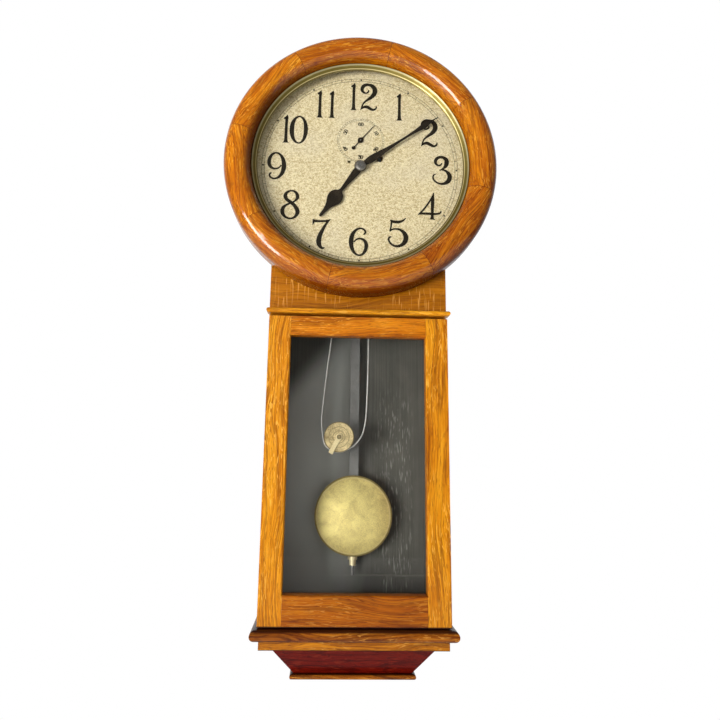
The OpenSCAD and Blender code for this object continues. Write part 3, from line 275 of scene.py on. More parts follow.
class Rays(Enum):
    """Length, width and sway of the pale ray flecks: wavy dashes along the fibres, or ribbons across them."""

    ALONG = (0.055, 0.42, 1.6)
    CROSSING = (0.40, 0.040, 0.5)


@dataclass(frozen=True)
class OakTone:
    """Colours of one varnished oak."""

    dark: Colour
    middle: Colour
    light: Colour
    pore: Colour
    ray: Colour


GOLDEN = OakTone((0.36, 0.095, 0.001), (0.60, 0.205, 0.003), (0.74, 0.310, 0.010), (0.14, 0.028, 0.001),
                 (0.85, 0.42, 0.050))
HONEY = OakTone((0.33, 0.075, 0.001), (0.54, 0.150, 0.001), (0.68, 0.235, 0.005), (0.13, 0.024, 0.001),
                (0.80, 0.36, 0.040))
AMBER = OakTone((0.18, 0.042, 0.001), (0.37, 0.112, 0.002), (0.56, 0.200, 0.005), (0.07, 0.014, 0.001),
                (0.68, 0.32, 0.050))
RUSSET = OakTone((0.30, 0.060, 0.001), (0.56, 0.158, 0.002), (0.76, 0.280, 0.006), (0.11, 0.018, 0.001),
                 (0.86, 0.40, 0.035))
CHESTNUT = OakTone((0.12, 0.022, 0.001), (0.29, 0.078, 0.002), (0.50, 0.175, 0.008), (0.04, 0.008, 0.001),
                   (0.62, 0.27, 0.040))
# Far darker than the other oaks: it paints in the shade that falls on the downward-facing taper.
MAROON = OakTone((0.080, 0.002, 0.001), (0.108, 0.003, 0.001), (0.135, 0.006, 0.002), (0.020, 0.001, 0.001),
                 (0.21, 0.022, 0.008))
OLIVE = OakTone((0.31, 0.098, 0.002), (0.40, 0.132, 0.002), (0.47, 0.165, 0.004), (0.16, 0.040, 0.001),
                (0.66, 0.30, 0.050))
# A lightened copy of the golden tone: painted light for the waist moulding, whose faces turn away from the lamps.
LIT_GOLDEN = OakTone((0.48, 0.16, 0.003), (0.78, 0.32, 0.010), (0.90, 0.42, 0.030), (0.20, 0.05, 0.002),
                (0.95, 0.55, 0.10))
UMBER = OakTone((0.10, 0.035, 0.008), (0.17, 0.065, 0.016), (0.24, 0.10, 0.028), (0.04, 0.015, 0.004),
                (0.30, 0.14, 0.04))


@dataclass(frozen=True)
class Oak:
    """Varnished quarter-sawn oak: bands, fine wavy lines, pores and pale ray flecks.

    Heights of shade lines, each with its reach, mark the corners and gaps where a dark line of painted shade lies.
    Shade holds where the wood begins to darken downwards and where it is darkest. Inside is half the width between
    which side faces are bare. Bow is how far the fibres wander, slant how fast they move over on the end faces, and
    relief the depth of the surface.
    """

    name: str
    tone: OakTone
    grain: Grain
    rays: Rays = Rays.ALONG
    flecks: float = 0.6
    gloss: float = 0.30
    seed: float = 0.0
    inside: float = 0.0
    # Heights and reaches of dark lines of painted shade in corners and gaps.
    shade_lines: tuple[float, ...] = ()
    shade: tuple[float, ...] = ()
    shade_tint: Colour = (0.68, 0.61, 0.60)
    bow: float = 34.0
    slant: float = 0.7
    relief: float = 0.12

    def wood(self, shader: Shader, along: Value, across: Value, depth: Value) -> tuple[Value, Value, Value]:
        """Draws the wood.

        Args:
            shader: Material being built.
            along: Distance along the fibres in millimetres.
            across: Distance across them on the face.
            depth: Distance into the board.

        Returns:
            Colour, height of the surface and mask of the pores.
        """
        seed, tone = self.seed, self.tone
        warp = shader.noise(along * 0.008 + seed, across * 0.016, depth * 0.016, 1.0) - 0.5
        bent = across + warp * self.bow
        bands = shader.noise(along * 0.0035 + seed, bent * 0.050, depth * 0.050)
        streaks = shader.noise(along * 0.022 + seed, bent * 0.46, depth * 0.46, 3.0, 0.62)
        rings = shader.noise(along * 0.005 + seed, bent * 0.16, depth * 0.16 + 7.0, 1.0)
        lines = shader.step(1.0 - abs(rings * 2.0 - 1.0), 0.88, 0.985)
        fibres = shader.noise(along * 0.05 + seed, bent * 1.5, depth * 1.5, 2.0, 0.6)
        holes = shader.noise(along * 0.085 + seed, bent * 1.5, depth * 1.5 + 3.0, 1.0)
        pores = shader.step(holes, 0.60, 0.69)
        length, width, sway = self.rays.value
        dashes = shader.noise(along * length + seed, bent * width, depth * width, 1.0, 0.5, sway)
        patch = shader.noise(along * 0.02, bent * 0.02, depth * 0.03 + seed, 1.0)
        flecks = shader.step(dashes, 0.575, 0.655) * shader.step(patch, 0.34, 0.56)
        ground = shader.ramp(bands * 0.45 + streaks * 0.55, (
            (0.37, tone.dark), (0.50, tone.middle), (0.62, tone.light)))
        colour = shader.paint(ground, (lines * 0.50, tone.pore), (shader.step(fibres, 0.48, 0.68) * 0.42, tone.dark),
                              (pores * 0.70, tone.pore), (flecks * self.flecks, tone.ray))
        return colour, 0.6 * fibres + 0.4 * streaks - 0.5 * pores + 0.25 * flecks, pores

    def darkened(self, shader: Shader, colour: Value) -> Value:
        """Adds the bare inside, the darker lower end and the painted shade in corners and gaps.

        Args:
            shader: Material being built.
            colour: Colour of the clean wood.

        Returns:
            The colour that shows.
        """
        x, y, z = shader.place()
        if self.inside:
            bare = shader.fall(abs(x), self.inside - 0.1, self.inside + 0.1)
            colour = shader.mix(bare * shader.step(y, SIDE_FRONT - 0.2, SIDE_FRONT) * 0.85, colour, UMBER.dark)
        if self.shade:
            colour = shader.mix(shader.step(-z, *self.shade), colour, self.shade_tint, "MULTIPLY")
        # Painted shade: a dark line at each listed height, where shade falls in a corner or gap.
        for level, reach in zip(self.shade_lines[::2], self.shade_lines[1::2]):
            near = shader.fall(abs(z - level), reach * 0.35, reach)
            colour = shader.mix(near * 0.93, colour, CORNER_SHADE)
        return colour

    def material(self) -> bpy.types.Material:
        """Builds the varnished wood.

        Returns:
            The material.
        """
        shader = Shader(self.name)
        x, y, z = shader.place()
        along, side = (z, x) if self.grain is Grain.UP else (x, z)
        across = side + y * self.slant
        colour, height, pores = self.wood(shader, along, across, y)
        smear = shader.noise(along * 0.02, across * 0.05, y * 0.05 + self.seed, 3.0)
        return shader.surface(Base_Color=self.darkened(shader, colour), Roughness=0.34 + 0.16 * smear + 0.1 * pores,
                              Normal=shader.bump(height, self.relief), Coat_Weight=self.gloss,
                              Coat_Roughness=0.14, Specular_IOR_Level=0.05)


@dataclass(frozen=True)
class SegmentedOak(Oak):
    """Oak glued up from wedges round a centre: straight grain in each, thin dark joints between them.

    Offset moves the grain on from wedge to wedge. Four radii mark where the wood darkens towards the sight ring, with
    dark varnish in that corner and painted shade that is strongest on the left, and towards the outside, with painted
    shade that is strongest at the lower right; seat holds those between which the varnish ends. Under is the turn at
    which the ring is most shaded. Shaded, left and low are the distances over which the painted shade beneath, the
    painted shade of the inner corner and the painted shade of the outer edge come in.
    """

    segments: int = 8
    first_joint: float = 13.4
    wear_and_shade: tuple[float, float, float, float] = (151.0, 160.0, 176.0, 187.0)
    seat: Pair = (150.5, 154.0)
    offset: Pair = (61.0, 17.0)
    under: float = 150.0
    shaded: Pair = (85.0, 150.0)
    left: Pair = (40.0, 140.0)
    low: Pair = (0.0, 200.0)
    joint: Pair = (0.12, 0.55)
    under_tint: Colour = (0.70, 0.60, 0.45)

    def material(self) -> bpy.types.Material:
        """Builds the wood of a turned ring.

        Returns:
            The material.
        """
        shader = Shader(self.name)
        x, y, z = shader.place()
        rise = z - DIAL_HEIGHT
        pitch = 360.0 / self.segments
        turn = shader.math("ARCTAN2", x, rise) * (180 / math.pi)
        steps = (turn - self.first_joint + 360.0) / pitch
        index = shader.math("MODULO", shader.math("FLOOR", steps), float(self.segments))
        angle = ((index + 0.5) * pitch + self.first_joint) * (math.pi / 180)
        cosine, sine = shader.math("COSINE", angle), shader.math("SINE", angle)
        along = x * cosine - rise * sine + index * self.offset[0]
        across = x * sine + rise * cosine + index * self.offset[1]
        colour, height, pores = self.wood(shader, along, across, y)
        own = shader.noise(index * 3.7, index * 1.9, 0.5, 0.0)
        radius = shader.math("SQRT", x * x + rise * rise)
        gap = (0.5 - abs(shader.math("FRACT", steps) - 0.5)) * math.radians(pitch) * radius
        joint = shader.fall(gap, *self.joint)
        tone = self.tone
        colour = shader.paint(colour, (shader.step(own, 0.35, 0.65) * 0.30, tone.dark), (joint * 0.72, tone.pore))
        down = math.radians(self.under)
        beneath = shader.step(x * math.sin(down) + rise * math.cos(down), *self.shaded)
        colour = shader.mix(beneath, colour, self.under_tint, "MULTIPLY")
        # Painted shade towards the sight ring, with dark varnish in that corner, far stronger on the left; then painted
        # shade at the outer edge, strongest at the lower right.
        corner = shader.fall(radius, *self.wear_and_shade[:2]) * (0.22 + 0.70 * shader.step(-x, *self.left))
        outside = shader.step(radius, *self.wear_and_shade[2:])
        low = shader.step(x - rise, *self.low)
        colour = shader.paint(colour, (corner, tone.pore), (outside * (0.3 + 0.6 * low), tone.pore))
        varnish = (1.0 - shader.fall(radius, *self.seat) * 0.9) * (1.0 - outside * (0.55 + 0.4 * low))
        return shader.surface(Base_Color=colour, Roughness=0.26 + 0.12 * pores,
                              Normal=shader.bump(height - 1.2 * joint, self.relief),
                              Coat_Weight=varnish * self.gloss, Coat_Roughness=0.08, Specular_IOR_Level=0.05)


@dataclass(frozen=True)
class DarkPanel:
    """Board stained dark inside the trunk, with upright grain, scuffs, a faint shelf mark and a pale patch of painted
    light on the left, and bare behind.
    """

    name: str = "dark_panel"
    mark_z: float = -661.0
    mark_half: Pair = (0.4, 1.6)
    rub_left: Pair = (22.0, 44.0)
    rub_right: Pair = (74.0, 88.0)
    rub_top: Pair = (-450.0, -400.0)
    # Reaches of the pale patch of painted light on the left: its right edge, its sloping top edge and that edge's
    # slope.
    lit_right: Pair = (-62.0, 34.0)
    lit_top: Pair = (-345.0, -285.0)
    lit_slope: float = 1.1
    back_face: Pair = (-1.5, -0.5)
    stained: tuple[Stop, ...] = ((0.30, (0.032, 0.032, 0.027)), (0.52, (0.083, 0.082, 0.070)),
                                 (0.75, (0.135, 0.132, 0.110)))
    behind: tuple[Stop, ...] = ((0.32, (0.085, 0.045, 0.018)), (0.52, (0.16, 0.090, 0.038)),
                                (0.72, (0.23, 0.140, 0.065)))
    scuffed: Colour = (0.24, 0.235, 0.20)
    rubbed: Colour = (0.36, 0.36, 0.32)
    marked: Colour = (0.20, 0.195, 0.16)
    # Colour of the painted light on the left.
    lit_tint: Colour = (0.50, 0.515, 0.48)

    def material(self) -> bpy.types.Material:
        """Builds the stained board.

        Returns:
            The material.
        """
        shader = Shader(self.name)
        x, y, z = shader.place()
        lines = shader.noise(x * 0.55, y, z * 0.006, 4.0, 0.65)
        clouds = shader.noise(x * 0.016, y, z * 0.010, 3.0, 0.55, 0.4)
        scuffs = shader.step(shader.noise(x * 0.9, y, z * 0.035, 3.0, 0.7), 0.60, 0.76)
        rubs = shader.step(shader.noise(x * 0.5 + 20.0, y, z * 0.05, 2.0, 0.6), 0.56, 0.66)
        right = shader.step(x, *self.rub_left) * shader.fall(x, *self.rub_right) * shader.fall(z, *self.rub_top)
        mark = shader.fall(abs(z - self.mark_z), *self.mark_half)
        # Painted light: the left of the board made paler, below a sloping top edge.
        dust_and_painted_light = shader.fall(x, *self.lit_right) * shader.fall(z - x * self.lit_slope, *self.lit_top)
        colour = shader.paint(
            shader.ramp(lines * 0.5 + clouds * 0.5, self.stained), (scuffs * 0.35, self.scuffed),
            (rubs * right * 0.5, self.rubbed), (mark * 0.35, self.marked), (dust_and_painted_light * 0.9, self.lit_tint),
            (shader.step(y, *self.back_face), shader.ramp(lines * 0.6 + clouds * 0.4, self.behind)))
        return shader.surface(Base_Color=colour, Roughness=0.50 + 0.2 * clouds, Normal=shader.bump(lines, 0.01),
                              Specular_IOR_Level=0.3)


@dataclass(frozen=True)
class DialPaint:
    """Cream dial paint that has aged into a fine brown mottle, with bare metal behind it."""

    name: str = "dial_paint"
    cream: Colour = (1.0, 0.89, 0.575)
    brown: Colour = (0.55, 0.41, 0.185)
    spot: Colour = (0.36, 0.27, 0.13)
    cool: Colour = (0.80, 0.74, 0.60)
    bare: Colour = (0.20, 0.16, 0.10)
    front: Pair = (-99.35, -99.2)

    def material(self) -> bpy.types.Material:
        """Builds the aged paint.

        Returns:
            The material.
        """
        shader = Shader(self.name)
        x, y, z = shader.place()
        fine = shader.noise(x * 0.34, y, z * 0.42, 3.0, 0.62, 0.9)
        worms = shader.noise(x * 0.62 + 40.0, y, z * 0.70, 2.0, 0.55, 1.6)
        broad = shader.noise(x * 0.014, y, z * 0.014)
        spots = shader.step(shader.noise(x * 0.55, y, z * 0.55 + 9.0, 1.0), 0.62, 0.72)
        mottle = shader.step(fine * 0.5 + worms * 0.5, 0.455, 0.575)
        colour = shader.paint(self.cream, (mottle * 0.95, self.brown), (spots * 0.65, self.spot),
                              (shader.step(broad, 0.42, 0.66) * 0.25, self.cool),
                              (shader.step(y, *self.front), self.bare))
        return shader.surface(Base_Color=colour, Roughness=0.42 + 0.18 * fine, Normal=shader.bump(fine, 0.02),
                              Specular_IOR_Level=0.4)


@dataclass(frozen=True)
class Ink:
    """Black printing ink, a little worn."""

    name: str = "printing_ink"
    black: Colour = (0.012, 0.008, 0.004)
    faded: Colour = (0.060, 0.042, 0.022)

    def material(self) -> bpy.types.Material:
        """Builds the ink.

        Returns:
            The material.
        """
        shader = Shader(self.name)
        x, y, z = shader.place()
        wear_and_shade = shader.noise(x * 0.8, y, z * 0.8, 3.0, 0.6)
        return shader.surface(Base_Color=shader.mix(shader.step(wear_and_shade, 0.56, 0.78) * 0.4, self.black, self.faded),
                              Roughness=0.5 + 0.2 * wear_and_shade, Specular_IOR_Level=0.2)


@dataclass(frozen=True)
class Metal:
    """A metal with tarnish and fine marks, which are rings on turned work; bands are radius, reach and colour."""

    name: str
    clean: Colour
    tarnish: Colour
    rough: float = 0.28
    aged: float = 0.5
    coverage: float = 1.0
    turned_about: Pair | None = None
    bands: tuple[tuple[float, float, Colour], ...] = ()

    def material(self) -> bpy.types.Material:
        """Builds the metal.

        Returns:
            The material.
        """
        shader = Shader(self.name)
        x, y, z = shader.place()
        cloud = shader.noise(x * 0.055, y * 0.055, z * 0.055, 4.0, 0.6, 0.4)
        speck = shader.noise(x * 0.7, y * 0.7, z * 0.7, 3.0, 0.65)
        age = shader.step(cloud * 0.6 + speck * 0.4, 0.36, 0.68) * self.aged
        colour = shader.paint(self.clean, (age, self.tarnish),
                              (shader.step(speck, 0.66, 0.78) * 0.5 * self.aged, self.tarnish))
        if self.turned_about:
            dx, dz = x - self.turned_about[0], z - self.turned_about[1]
            radius = shader.math("SQRT", dx * dx + dz * dz)
            marks = shader.noise(radius * 2.4, y * 2.4, 0.3, 2.0, 0.6)
            for at, reach, tint in self.bands:
                colour = shader.mix(shader.fall(abs(radius - at), reach * 0.5, reach) * 0.8, colour, tint)
        else:
            marks = shader.noise(x * 0.16, y * 1.9, z * 1.9, 2.0, 0.6)
        return shader.surface(Base_Color=colour, Metallic=self.coverage,
                              Roughness=self.rough + 0.14 * age + 0.10 * marks,
                              Normal=shader.bump(marks * 0.6 + speck * 0.4, 0.015))


@dataclass(frozen=True)
class BlackPaint:
    """Black lacquer of the hands, hazy in places."""

    name: str = "hand_lacquer"
    black: Colour = (0.014, 0.010, 0.006)
    hazy: Colour = (0.040, 0.030, 0.018)

    def material(self) -> bpy.types.Material:
        """Builds the lacquer.

        Returns:
            The material.
        """
        shader = Shader(self.name)
        x, y, z = shader.place()
        haze = shader.noise(x * 0.12, y * 0.12, z * 0.12, 3.0, 0.6)
        fine = shader.noise(x * 1.6, y, z * 1.6)
        return shader.surface(Base_Color=shader.mix(shader.step(haze, 0.45, 0.7) * 0.5, self.black, self.hazy),
                              Roughness=0.24 + 0.2 * haze, Normal=shader.bump(fine, 0.01),
                              Coat_Weight=0.12, Coat_Roughness=0.2, Specular_IOR_Level=0.25)


@dataclass(frozen=True)
class Glass:
    """Clear old glass that lets the lamps' light through."""

    name: str
    tint: Colour = (0.985, 0.99, 0.98)
    bending: float = 1.2

    def material(self) -> bpy.types.Material:
        """Builds the glass.

        Returns:
            The material.
        """
        shader = Shader(self.name)
        x, y, z = shader.place()
        wave = shader.noise(x * 0.02, y, z * 0.02, 1.0)
        pane = shader.node("ShaderNodeBsdfPrincipled", None, {
            "Base Color": self.tint, "Roughness": 0.0, "IOR": self.bending, "Transmission Weight": 1.0,
            "Normal": shader.bump(wave, 0.02)})
        clear = shader.node("ShaderNodeBsdfTransparent")
        path = shader.node("ShaderNodeLightPath")
        shader.close(shader.out(path, "Is Shadow Ray"), pane, clear)
        return shader.material


# Mesh building


def mesh_piece(name: str, build: bmesh.types.BMesh, material: bpy.types.Material,
               smooth: float = 35.0) -> bpy.types.Object:
    """Turns a bmesh into a piece.

    Args:
        name: Name of the piece.
        build: Finished bmesh, which is freed.
        material: Its material.
        smooth: Edges flatter than this many degrees are shaded smooth.

    Returns:
        The new object, linked into the scene.
    """
    bmesh.ops.recalc_face_normals(build, faces=build.faces)
    mesh = bpy.data.meshes.new(name)
    build.to_mesh(mesh)
    build.free()
    mesh.materials.append(material)
    mesh.shade_smooth()
    mesh.set_sharp_from_angle(angle=math.radians(smooth))
    piece = bpy.data.objects.new(name, mesh)
    bpy.context.scene.collection.objects.link(piece)
    LOG.info("%s made", name)
    return piece


def bridge(build: bmesh.types.BMesh, one: Sequence[bmesh.types.BMVert], two: Sequence[bmesh.types.BMVert]) -> None:
    """Adds the faces between two rings of the same length."""
    for k in range(len(one)):
        after = (k + 1) % len(one)
        build.faces.new((one[k], one[after], two[after], two[k]))


def prism(build: bmesh.types.BMesh, outline: Sequence[Pair], back: float, front: float) -> None:
    """Adds a closed flat prism.

    Args:
        build: Mesh to add to.
        outline: Corners in millimetres, as seen from the front.
        back: Forward distance of its back.
        front: Forward distance of its front.
    """
    rings = [[build.verts.new((x * MM, -f * MM, z * MM)) for x, z in outline] for f in (back, front)]
    build.faces.new(rings[0])
    build.faces.new(rings[1])
    bridge(build, *rings)


def ribbon(build: bmesh.types.BMesh, path: Sequence[tuple[float, float, float]], back: float, front: float,
           closed: bool = False) -> None:
    """Adds a thin closed ribbon that follows a path with a width at each point.

    Args:
        build: Mesh to add to.
        path: Points as x, z and full width, in millimetres.
        back: Forward distance of its back.
        front: Forward distance of its front.
        closed: Whether the path joins up with itself.
    """
    count = len(path)
    rows = []
    for i, (x, z, width) in enumerate(path):
        a = path[(i - 1) % count if closed else max(i - 1, 0)]
        b = path[(i + 1) % count if closed else min(i + 1, count - 1)]
        heading = Vector((b[0] - a[0], b[1] - a[1])).normalized()
        side = Vector((-heading.y, heading.x)) * width / 2
        rows.append([build.verts.new((px * MM, -f * MM, pz * MM)) for px, pz, f in (
            (x + side.x, z + side.y, front), (x - side.x, z - side.y, front),
            (x - side.x, z - side.y, back), (x + side.x, z + side.y, back))])
    for i in range(count if closed else count - 1):
        bridge(build, rows[i], rows[(i + 1) % count])
    if not closed:
        build.faces.new(rows[0])
        build.faces.new(rows[-1])


def around(centre: Pair, turn: float, reach: float) -> Pair:
    """Point at a clockwise turn in degrees and a reach from a centre."""
    return centre[0] + reach * math.sin(math.radians(turn)), centre[1] + reach * math.cos(math.radians(turn))


def circle(centre: Pair, radius: float, sides: int = 20) -> list[Pair]:
    """Corners of a circle."""
    return [(centre[0] + radius * math.cos(math.tau * i / sides), centre[1] + radius * math.sin(math.tau * i / sides))
            for i in range(sides)]


def smooth_path(points: Sequence[Sequence[float]], steps: int, closed: bool = False) -> list[tuple[float, ...]]:
    """Curves through points.

    Args:
        points: Points of any dimension.
        steps: Steps from each point to the next.
        closed: Whether the last point leads back to the first.

    Returns:
        The points of the curve.
    """
    count = len(points)

    def at(i: int) -> Vector:
        """A control point, repeated at the ends or taken round."""
        return Vector(points[i % count if closed else min(max(i, 0), count - 1)])

    curve = []
    for i in range(count if closed else count - 1):
        a, b, c, d = at(i - 1), at(i), at(i + 1), at(i + 2)
        for k in range(steps):
            t = k / steps
            curve.append(tuple(b + (c - a) * (t / 2) + (2 * a - 5 * b + 4 * c - d) * (t * t / 2)
                               + (3 * b - a - 3 * c + d) * (t ** 3 / 2)))
    if not closed:
        curve.append(tuple(at(count - 1)))
    return curve


# Sub-assemblies


def dress(finish: Oak | DarkPanel | DialPaint | Metal | BlackPaint | Glass, *nodes: str) -> None:
    """Gives the record's nodes a finish.

    Args:
        finish: The finish.
        nodes: Names of the nodes.
    """
    material = finish.material()
    for name in nodes:
        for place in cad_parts[name].material_slots:
            place.material = material
        LOG.info("%s dressed in %s", name, material.name)


def ease_edges(width: float, *nodes: str) -> None:
    """Rounds the sharp edges of carried-over solids a little.

    Args:
        width: Width of the rounding in millimetres.
        nodes: Names of the nodes.
    """
    for name in nodes:
        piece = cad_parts[name]
        weld = piece.modifiers.new("weld", "WELD")
        weld.merge_threshold = WELD_REACH
        bevel = piece.modifiers.new("eased_edges", "BEVEL")
        bevel.width = width * MM
        bevel.segments = 2
        bevel.limit_method = "ANGLE"
        bevel.angle_limit = SHARP_EDGE
        bevel.use_clamp_overlap = True
        bevel.harden_normals = True


def settle(piece: bpy.types.Object, body: str) -> bpy.types.Object:
    """Puts a finished piece on its body.

    Args:
        piece: The piece.
        body: Body that carries it.

    Returns:
        The piece.
    """
    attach(piece, body)
    LOG.info("%s rides on %s", piece.name, body)
    return piece


@dataclass(frozen=True)
class Lamp:
    """A soft rectangular lamp: where it stands, the point that it faces, its size in metres and its power."""

    name: str
    place: tuple[float, float, float]
    aim: tuple[float, float, float]
    size: Pair
    power: float
    colour: Colour = WHITE
    mirrored: bool = False

    def stand(self) -> None:
        """Adds the lamp to the scene; none is seen through glass, and only the window is mirrored."""
        data = bpy.data.lights.new(self.name, "AREA")
        data.shape = "RECTANGLE"
        data.size, data.size_y = self.size
        data.energy = self.power
        data.color = self.colour
        lamp = bpy.data.objects.new(self.name, data)
        lamp.location = self.place
        lamp.rotation_euler = (Vector(self.aim) - Vector(self.place)).to_track_quat("-Z", "Y").to_euler()
        lamp.visible_transmission = False
        lamp.visible_glossy = self.mirrored
        bpy.context.scene.collection.objects.link(lamp)


@dataclass
class Studio:
    """Camera, lamps, floor and backdrop."""

    place: tuple[float, float, float] = (-0.04127, -0.94778, -0.50098)
    yaw: float = 0.03637
    pitch: float = 0.20944
    roll: float = 0.01513
    focal: float = 653.736
    centre: Pair = (350.498, 315.236)
    image: float = 720.0
    sensor: float = 36.0
    half_width: float = 4.0
    floor_z: float = -1.2
    floor_span: Pair = (-4.0, 0.9)
    floor_white: float = 0.6
    backdrop_y: float = 2.6
    backdrop_span: Pair = (-2.2, 3.4)
    backdrop_tone: Colour = (0.8, 0.8, 0.8)
    floor_tones: tuple[Colour, Colour] = ((0.86, 0.86, 0.86), (0.80, 0.80, 0.80))
    room_behind: Pair = (0.25, 0.70)
    room_front: Colour = (0.14, 0.14, 0.14)
    soft_light: float = 0.22
    lamps: tuple[Lamp, ...] = (
        Lamp("window", (-1.85, -2.10, -0.85), (0.0, -0.05, -0.30), (1.4, 1.3), 92.0, (1.0, 0.985, 0.96), True),
        Lamp("fill", (-0.35, -2.60, 0.10), (0.0, -0.05, -0.35), (1.6, 1.6), 19.0, (1.0, 0.98, 0.95)),
        Lamp("ceiling", (-0.30, -1.30, 2.20), (0.0, -0.05, -0.35), (1.3, 1.0), 10.0))

    def camera(self) -> None:
        """Stands the camera where the photograph was taken."""
        forward = Vector((math.sin(self.yaw) * math.cos(self.pitch), math.cos(self.yaw) * math.cos(self.pitch),
                          math.sin(self.pitch)))
        right = Vector((math.cos(self.yaw), -math.sin(self.yaw), 0.0))
        up = right.cross(forward)
        turn_cos, turn_sin = math.cos(self.roll), math.sin(self.roll)
        side = right * turn_cos + up * turn_sin
        top = up * turn_cos - right * turn_sin
        data = bpy.data.cameras.new("camera")
        data.sensor_width = self.sensor
        data.lens = self.focal / self.image * self.sensor
        data.shift_x = (self.image / 2 - self.centre[0]) / self.image
        data.shift_y = (self.centre[1] - self.image / 2) / self.image
        data.clip_start = CLIP_START
        camera = bpy.data.objects.new("camera", data)
        camera.matrix_world = Matrix((
            (side.x, top.x, -forward.x, self.place[0]), (side.y, top.y, -forward.y, self.place[1]),
            (side.z, top.z, -forward.z, self.place[2]), (0.0, 0.0, 0.0, 1.0)))
        scene = bpy.context.scene
        scene.collection.objects.link(camera)
        scene.camera = camera
        scene.view_settings.view_transform = "Standard"

    def seen(self, shader: Shader) -> Value:
        """Picks out the rays that show a surface, not those that only carry its light.

        Args:
            shader: Material being built.

        Returns:
            1 for rays from the camera, from mirrors and through glass, and 0 for the rest.
        """
        path = shader.node("ShaderNodeLightPath")
        direct = shader.math("MAXIMUM", shader.out(path, "Is Camera Ray"), shader.out(path, "Is Glossy Ray"))
        return shader.math("MAXIMUM", direct, shader.out(path, "Is Transmission Ray"))

    def sheet(self, name: str, corners: Sequence[Sequence[float]], shader: Shader, paper: Tint, share: float) -> None:
        """Adds one flat sheet of the set, which is partly white to what sees it.

        Args:
            name: Name of the sheet.
            corners: Its corners in metres.
            shader: Its empty material.
            paper: Colour of the paper.
            share: Share of white.
        """
        plain = shader.node("ShaderNodeBsdfDiffuse", None, {"Color": paper})
        white = shader.node("ShaderNodeEmission", None, {"Color": WHITE, "Strength": 1.0})
        shader.close(self.seen(shader) * share, plain, white)
        build = bmesh.new()
        build.faces.new([build.verts.new(corner) for corner in corners])
        mesh_piece(name, build, shader.material)

    def backdrop(self) -> None:
        """Adds the backdrop: plain paper that looks white."""
        side, y, (low, high) = self.half_width, self.backdrop_y, self.backdrop_span
        corners = ((-side, y, low), (side, y, low), (side, y, high), (-side, y, high))
        self.sheet("backdrop", corners, Shader("backdrop_paper"), self.backdrop_tone, 1.0)

    def floor(self) -> None:
        """Adds the pale floor, which keeps the clock's shadow."""
        side, z, (near, far) = self.half_width, self.floor_z, self.floor_span
        shader = Shader("pale_floor")
        across, along, height = shader.place()
        dust_and_painted_light = shader.noise(across * 0.01, along * 0.01, height, 3.0)
        paper = shader.mix(dust_and_painted_light * 0.2, *self.floor_tones)
        corners = ((-side, near, z), (side, near, z), (side, far, z), (-side, far, z))
        self.sheet("floor", corners, shader, paper, self.floor_white)

    def world(self) -> None:
        """Surrounds the clock with soft even light, and shows a room that is white behind it and dim before it."""
        world = bpy.data.worlds.new("studio")
        world.use_nodes = True
        bpy.context.scene.world = world
        shader = Shader("studio_room", world.node_tree)
        coordinates = shader.node("ShaderNodeTexCoord")
        split = shader.node("ShaderNodeSeparateXYZ", None, {0: shader.out(coordinates, "Generated")})
        path = shader.node("ShaderNodeLightPath")
        behind = shader.step(shader.out(split, 1), *self.room_behind)
        pale = shader.math("MAXIMUM", behind, shader.out(path, "Is Camera Ray"))
        wall = shader.mix(pale, self.room_front, WHITE)
        soft = shader.node("ShaderNodeBackground", None, {"Color": (0.97, 0.985, 1.0), "Strength": self.soft_light})
        room = shader.node("ShaderNodeBackground", None, {"Color": wall, "Strength": 1.0})
        shader.close(self.seen(shader), soft, room)

    def light(self) -> None:
        """Lights the clock from a window on the left, with a weak fill from the front and one from above."""
        for lamp in self.lamps:
            lamp.stand()


@dataclass
class CaseWork:
    """The fixed oak case, its foot and its back."""

    bare_half: float = 106.3
    rounding: float = 0.5

    def build(self) -> None:
        """Dresses the case."""
        across = Grain.ACROSS
        dress(DarkPanel(), "back_board")
        dress(Oak("side_oak", GOLDEN, Grain.UP, seed=3.0, inside=self.bare_half), "case_sides")
        # The heights given with the boards below paint dark lines of shade under the mouldings and in the gaps between
        # boards.
        dress(Oak("neck_oak", OLIVE, across, Rays.CROSSING, 0.9, seed=11.0, shade_lines=(-324.3, 1.6)), "neck_panel")
        # Painted light: the waist moulding takes the lightened golden tone.
        dress(Oak("waist_oak", LIT_GOLDEN, across, flecks=0.3, seed=17.0, shade_lines=(-325.6, 1.0)), "waist_moulding")
        dress(Oak("top_oak", AMBER, across, flecks=0.3, seed=23.0), "top_board")
        dress(Oak("base_oak", CHESTNUT, across, seed=29.0, shade_lines=(-704.9, 3.6, -718.6, 2.2)), "base_board")
        dress(Oak("fascia_oak", AMBER, across, seed=31.0, shade_lines=(-718.3, 2.0, -729.3, 1.2)), "fascia_frame")
        # Painted shade: the taper's very dark tone stands for the shade beneath the base.
        dress(Oak("taper_boards", MAROON, across, flecks=0.5, gloss=0.12, seed=37.0), "taper_boards")
        dress(Oak("foot_oak", CHESTNUT, across, seed=41.0, shade_lines=(-763.8, 1.6)), "foot_board")
        dress(Oak("inner_oak", UMBER, Grain.UP, flecks=0.2, gloss=0.1, seed=43.0), "stop_rails")
        dress(Oak("backing_oak", CHESTNUT, across, flecks=0.3, gloss=0.2, seed=47.0), "dial_backing")
        dress(Metal("hanger_iron", (0.16, 0.16, 0.17), (0.09, 0.055, 0.035), 0.5, 0.6), "hanger_plate")
        ease_edges(self.rounding, "case_sides", "neck_panel", "base_board", "fascia_frame", "taper_boards",
                   "foot_board", "top_board")


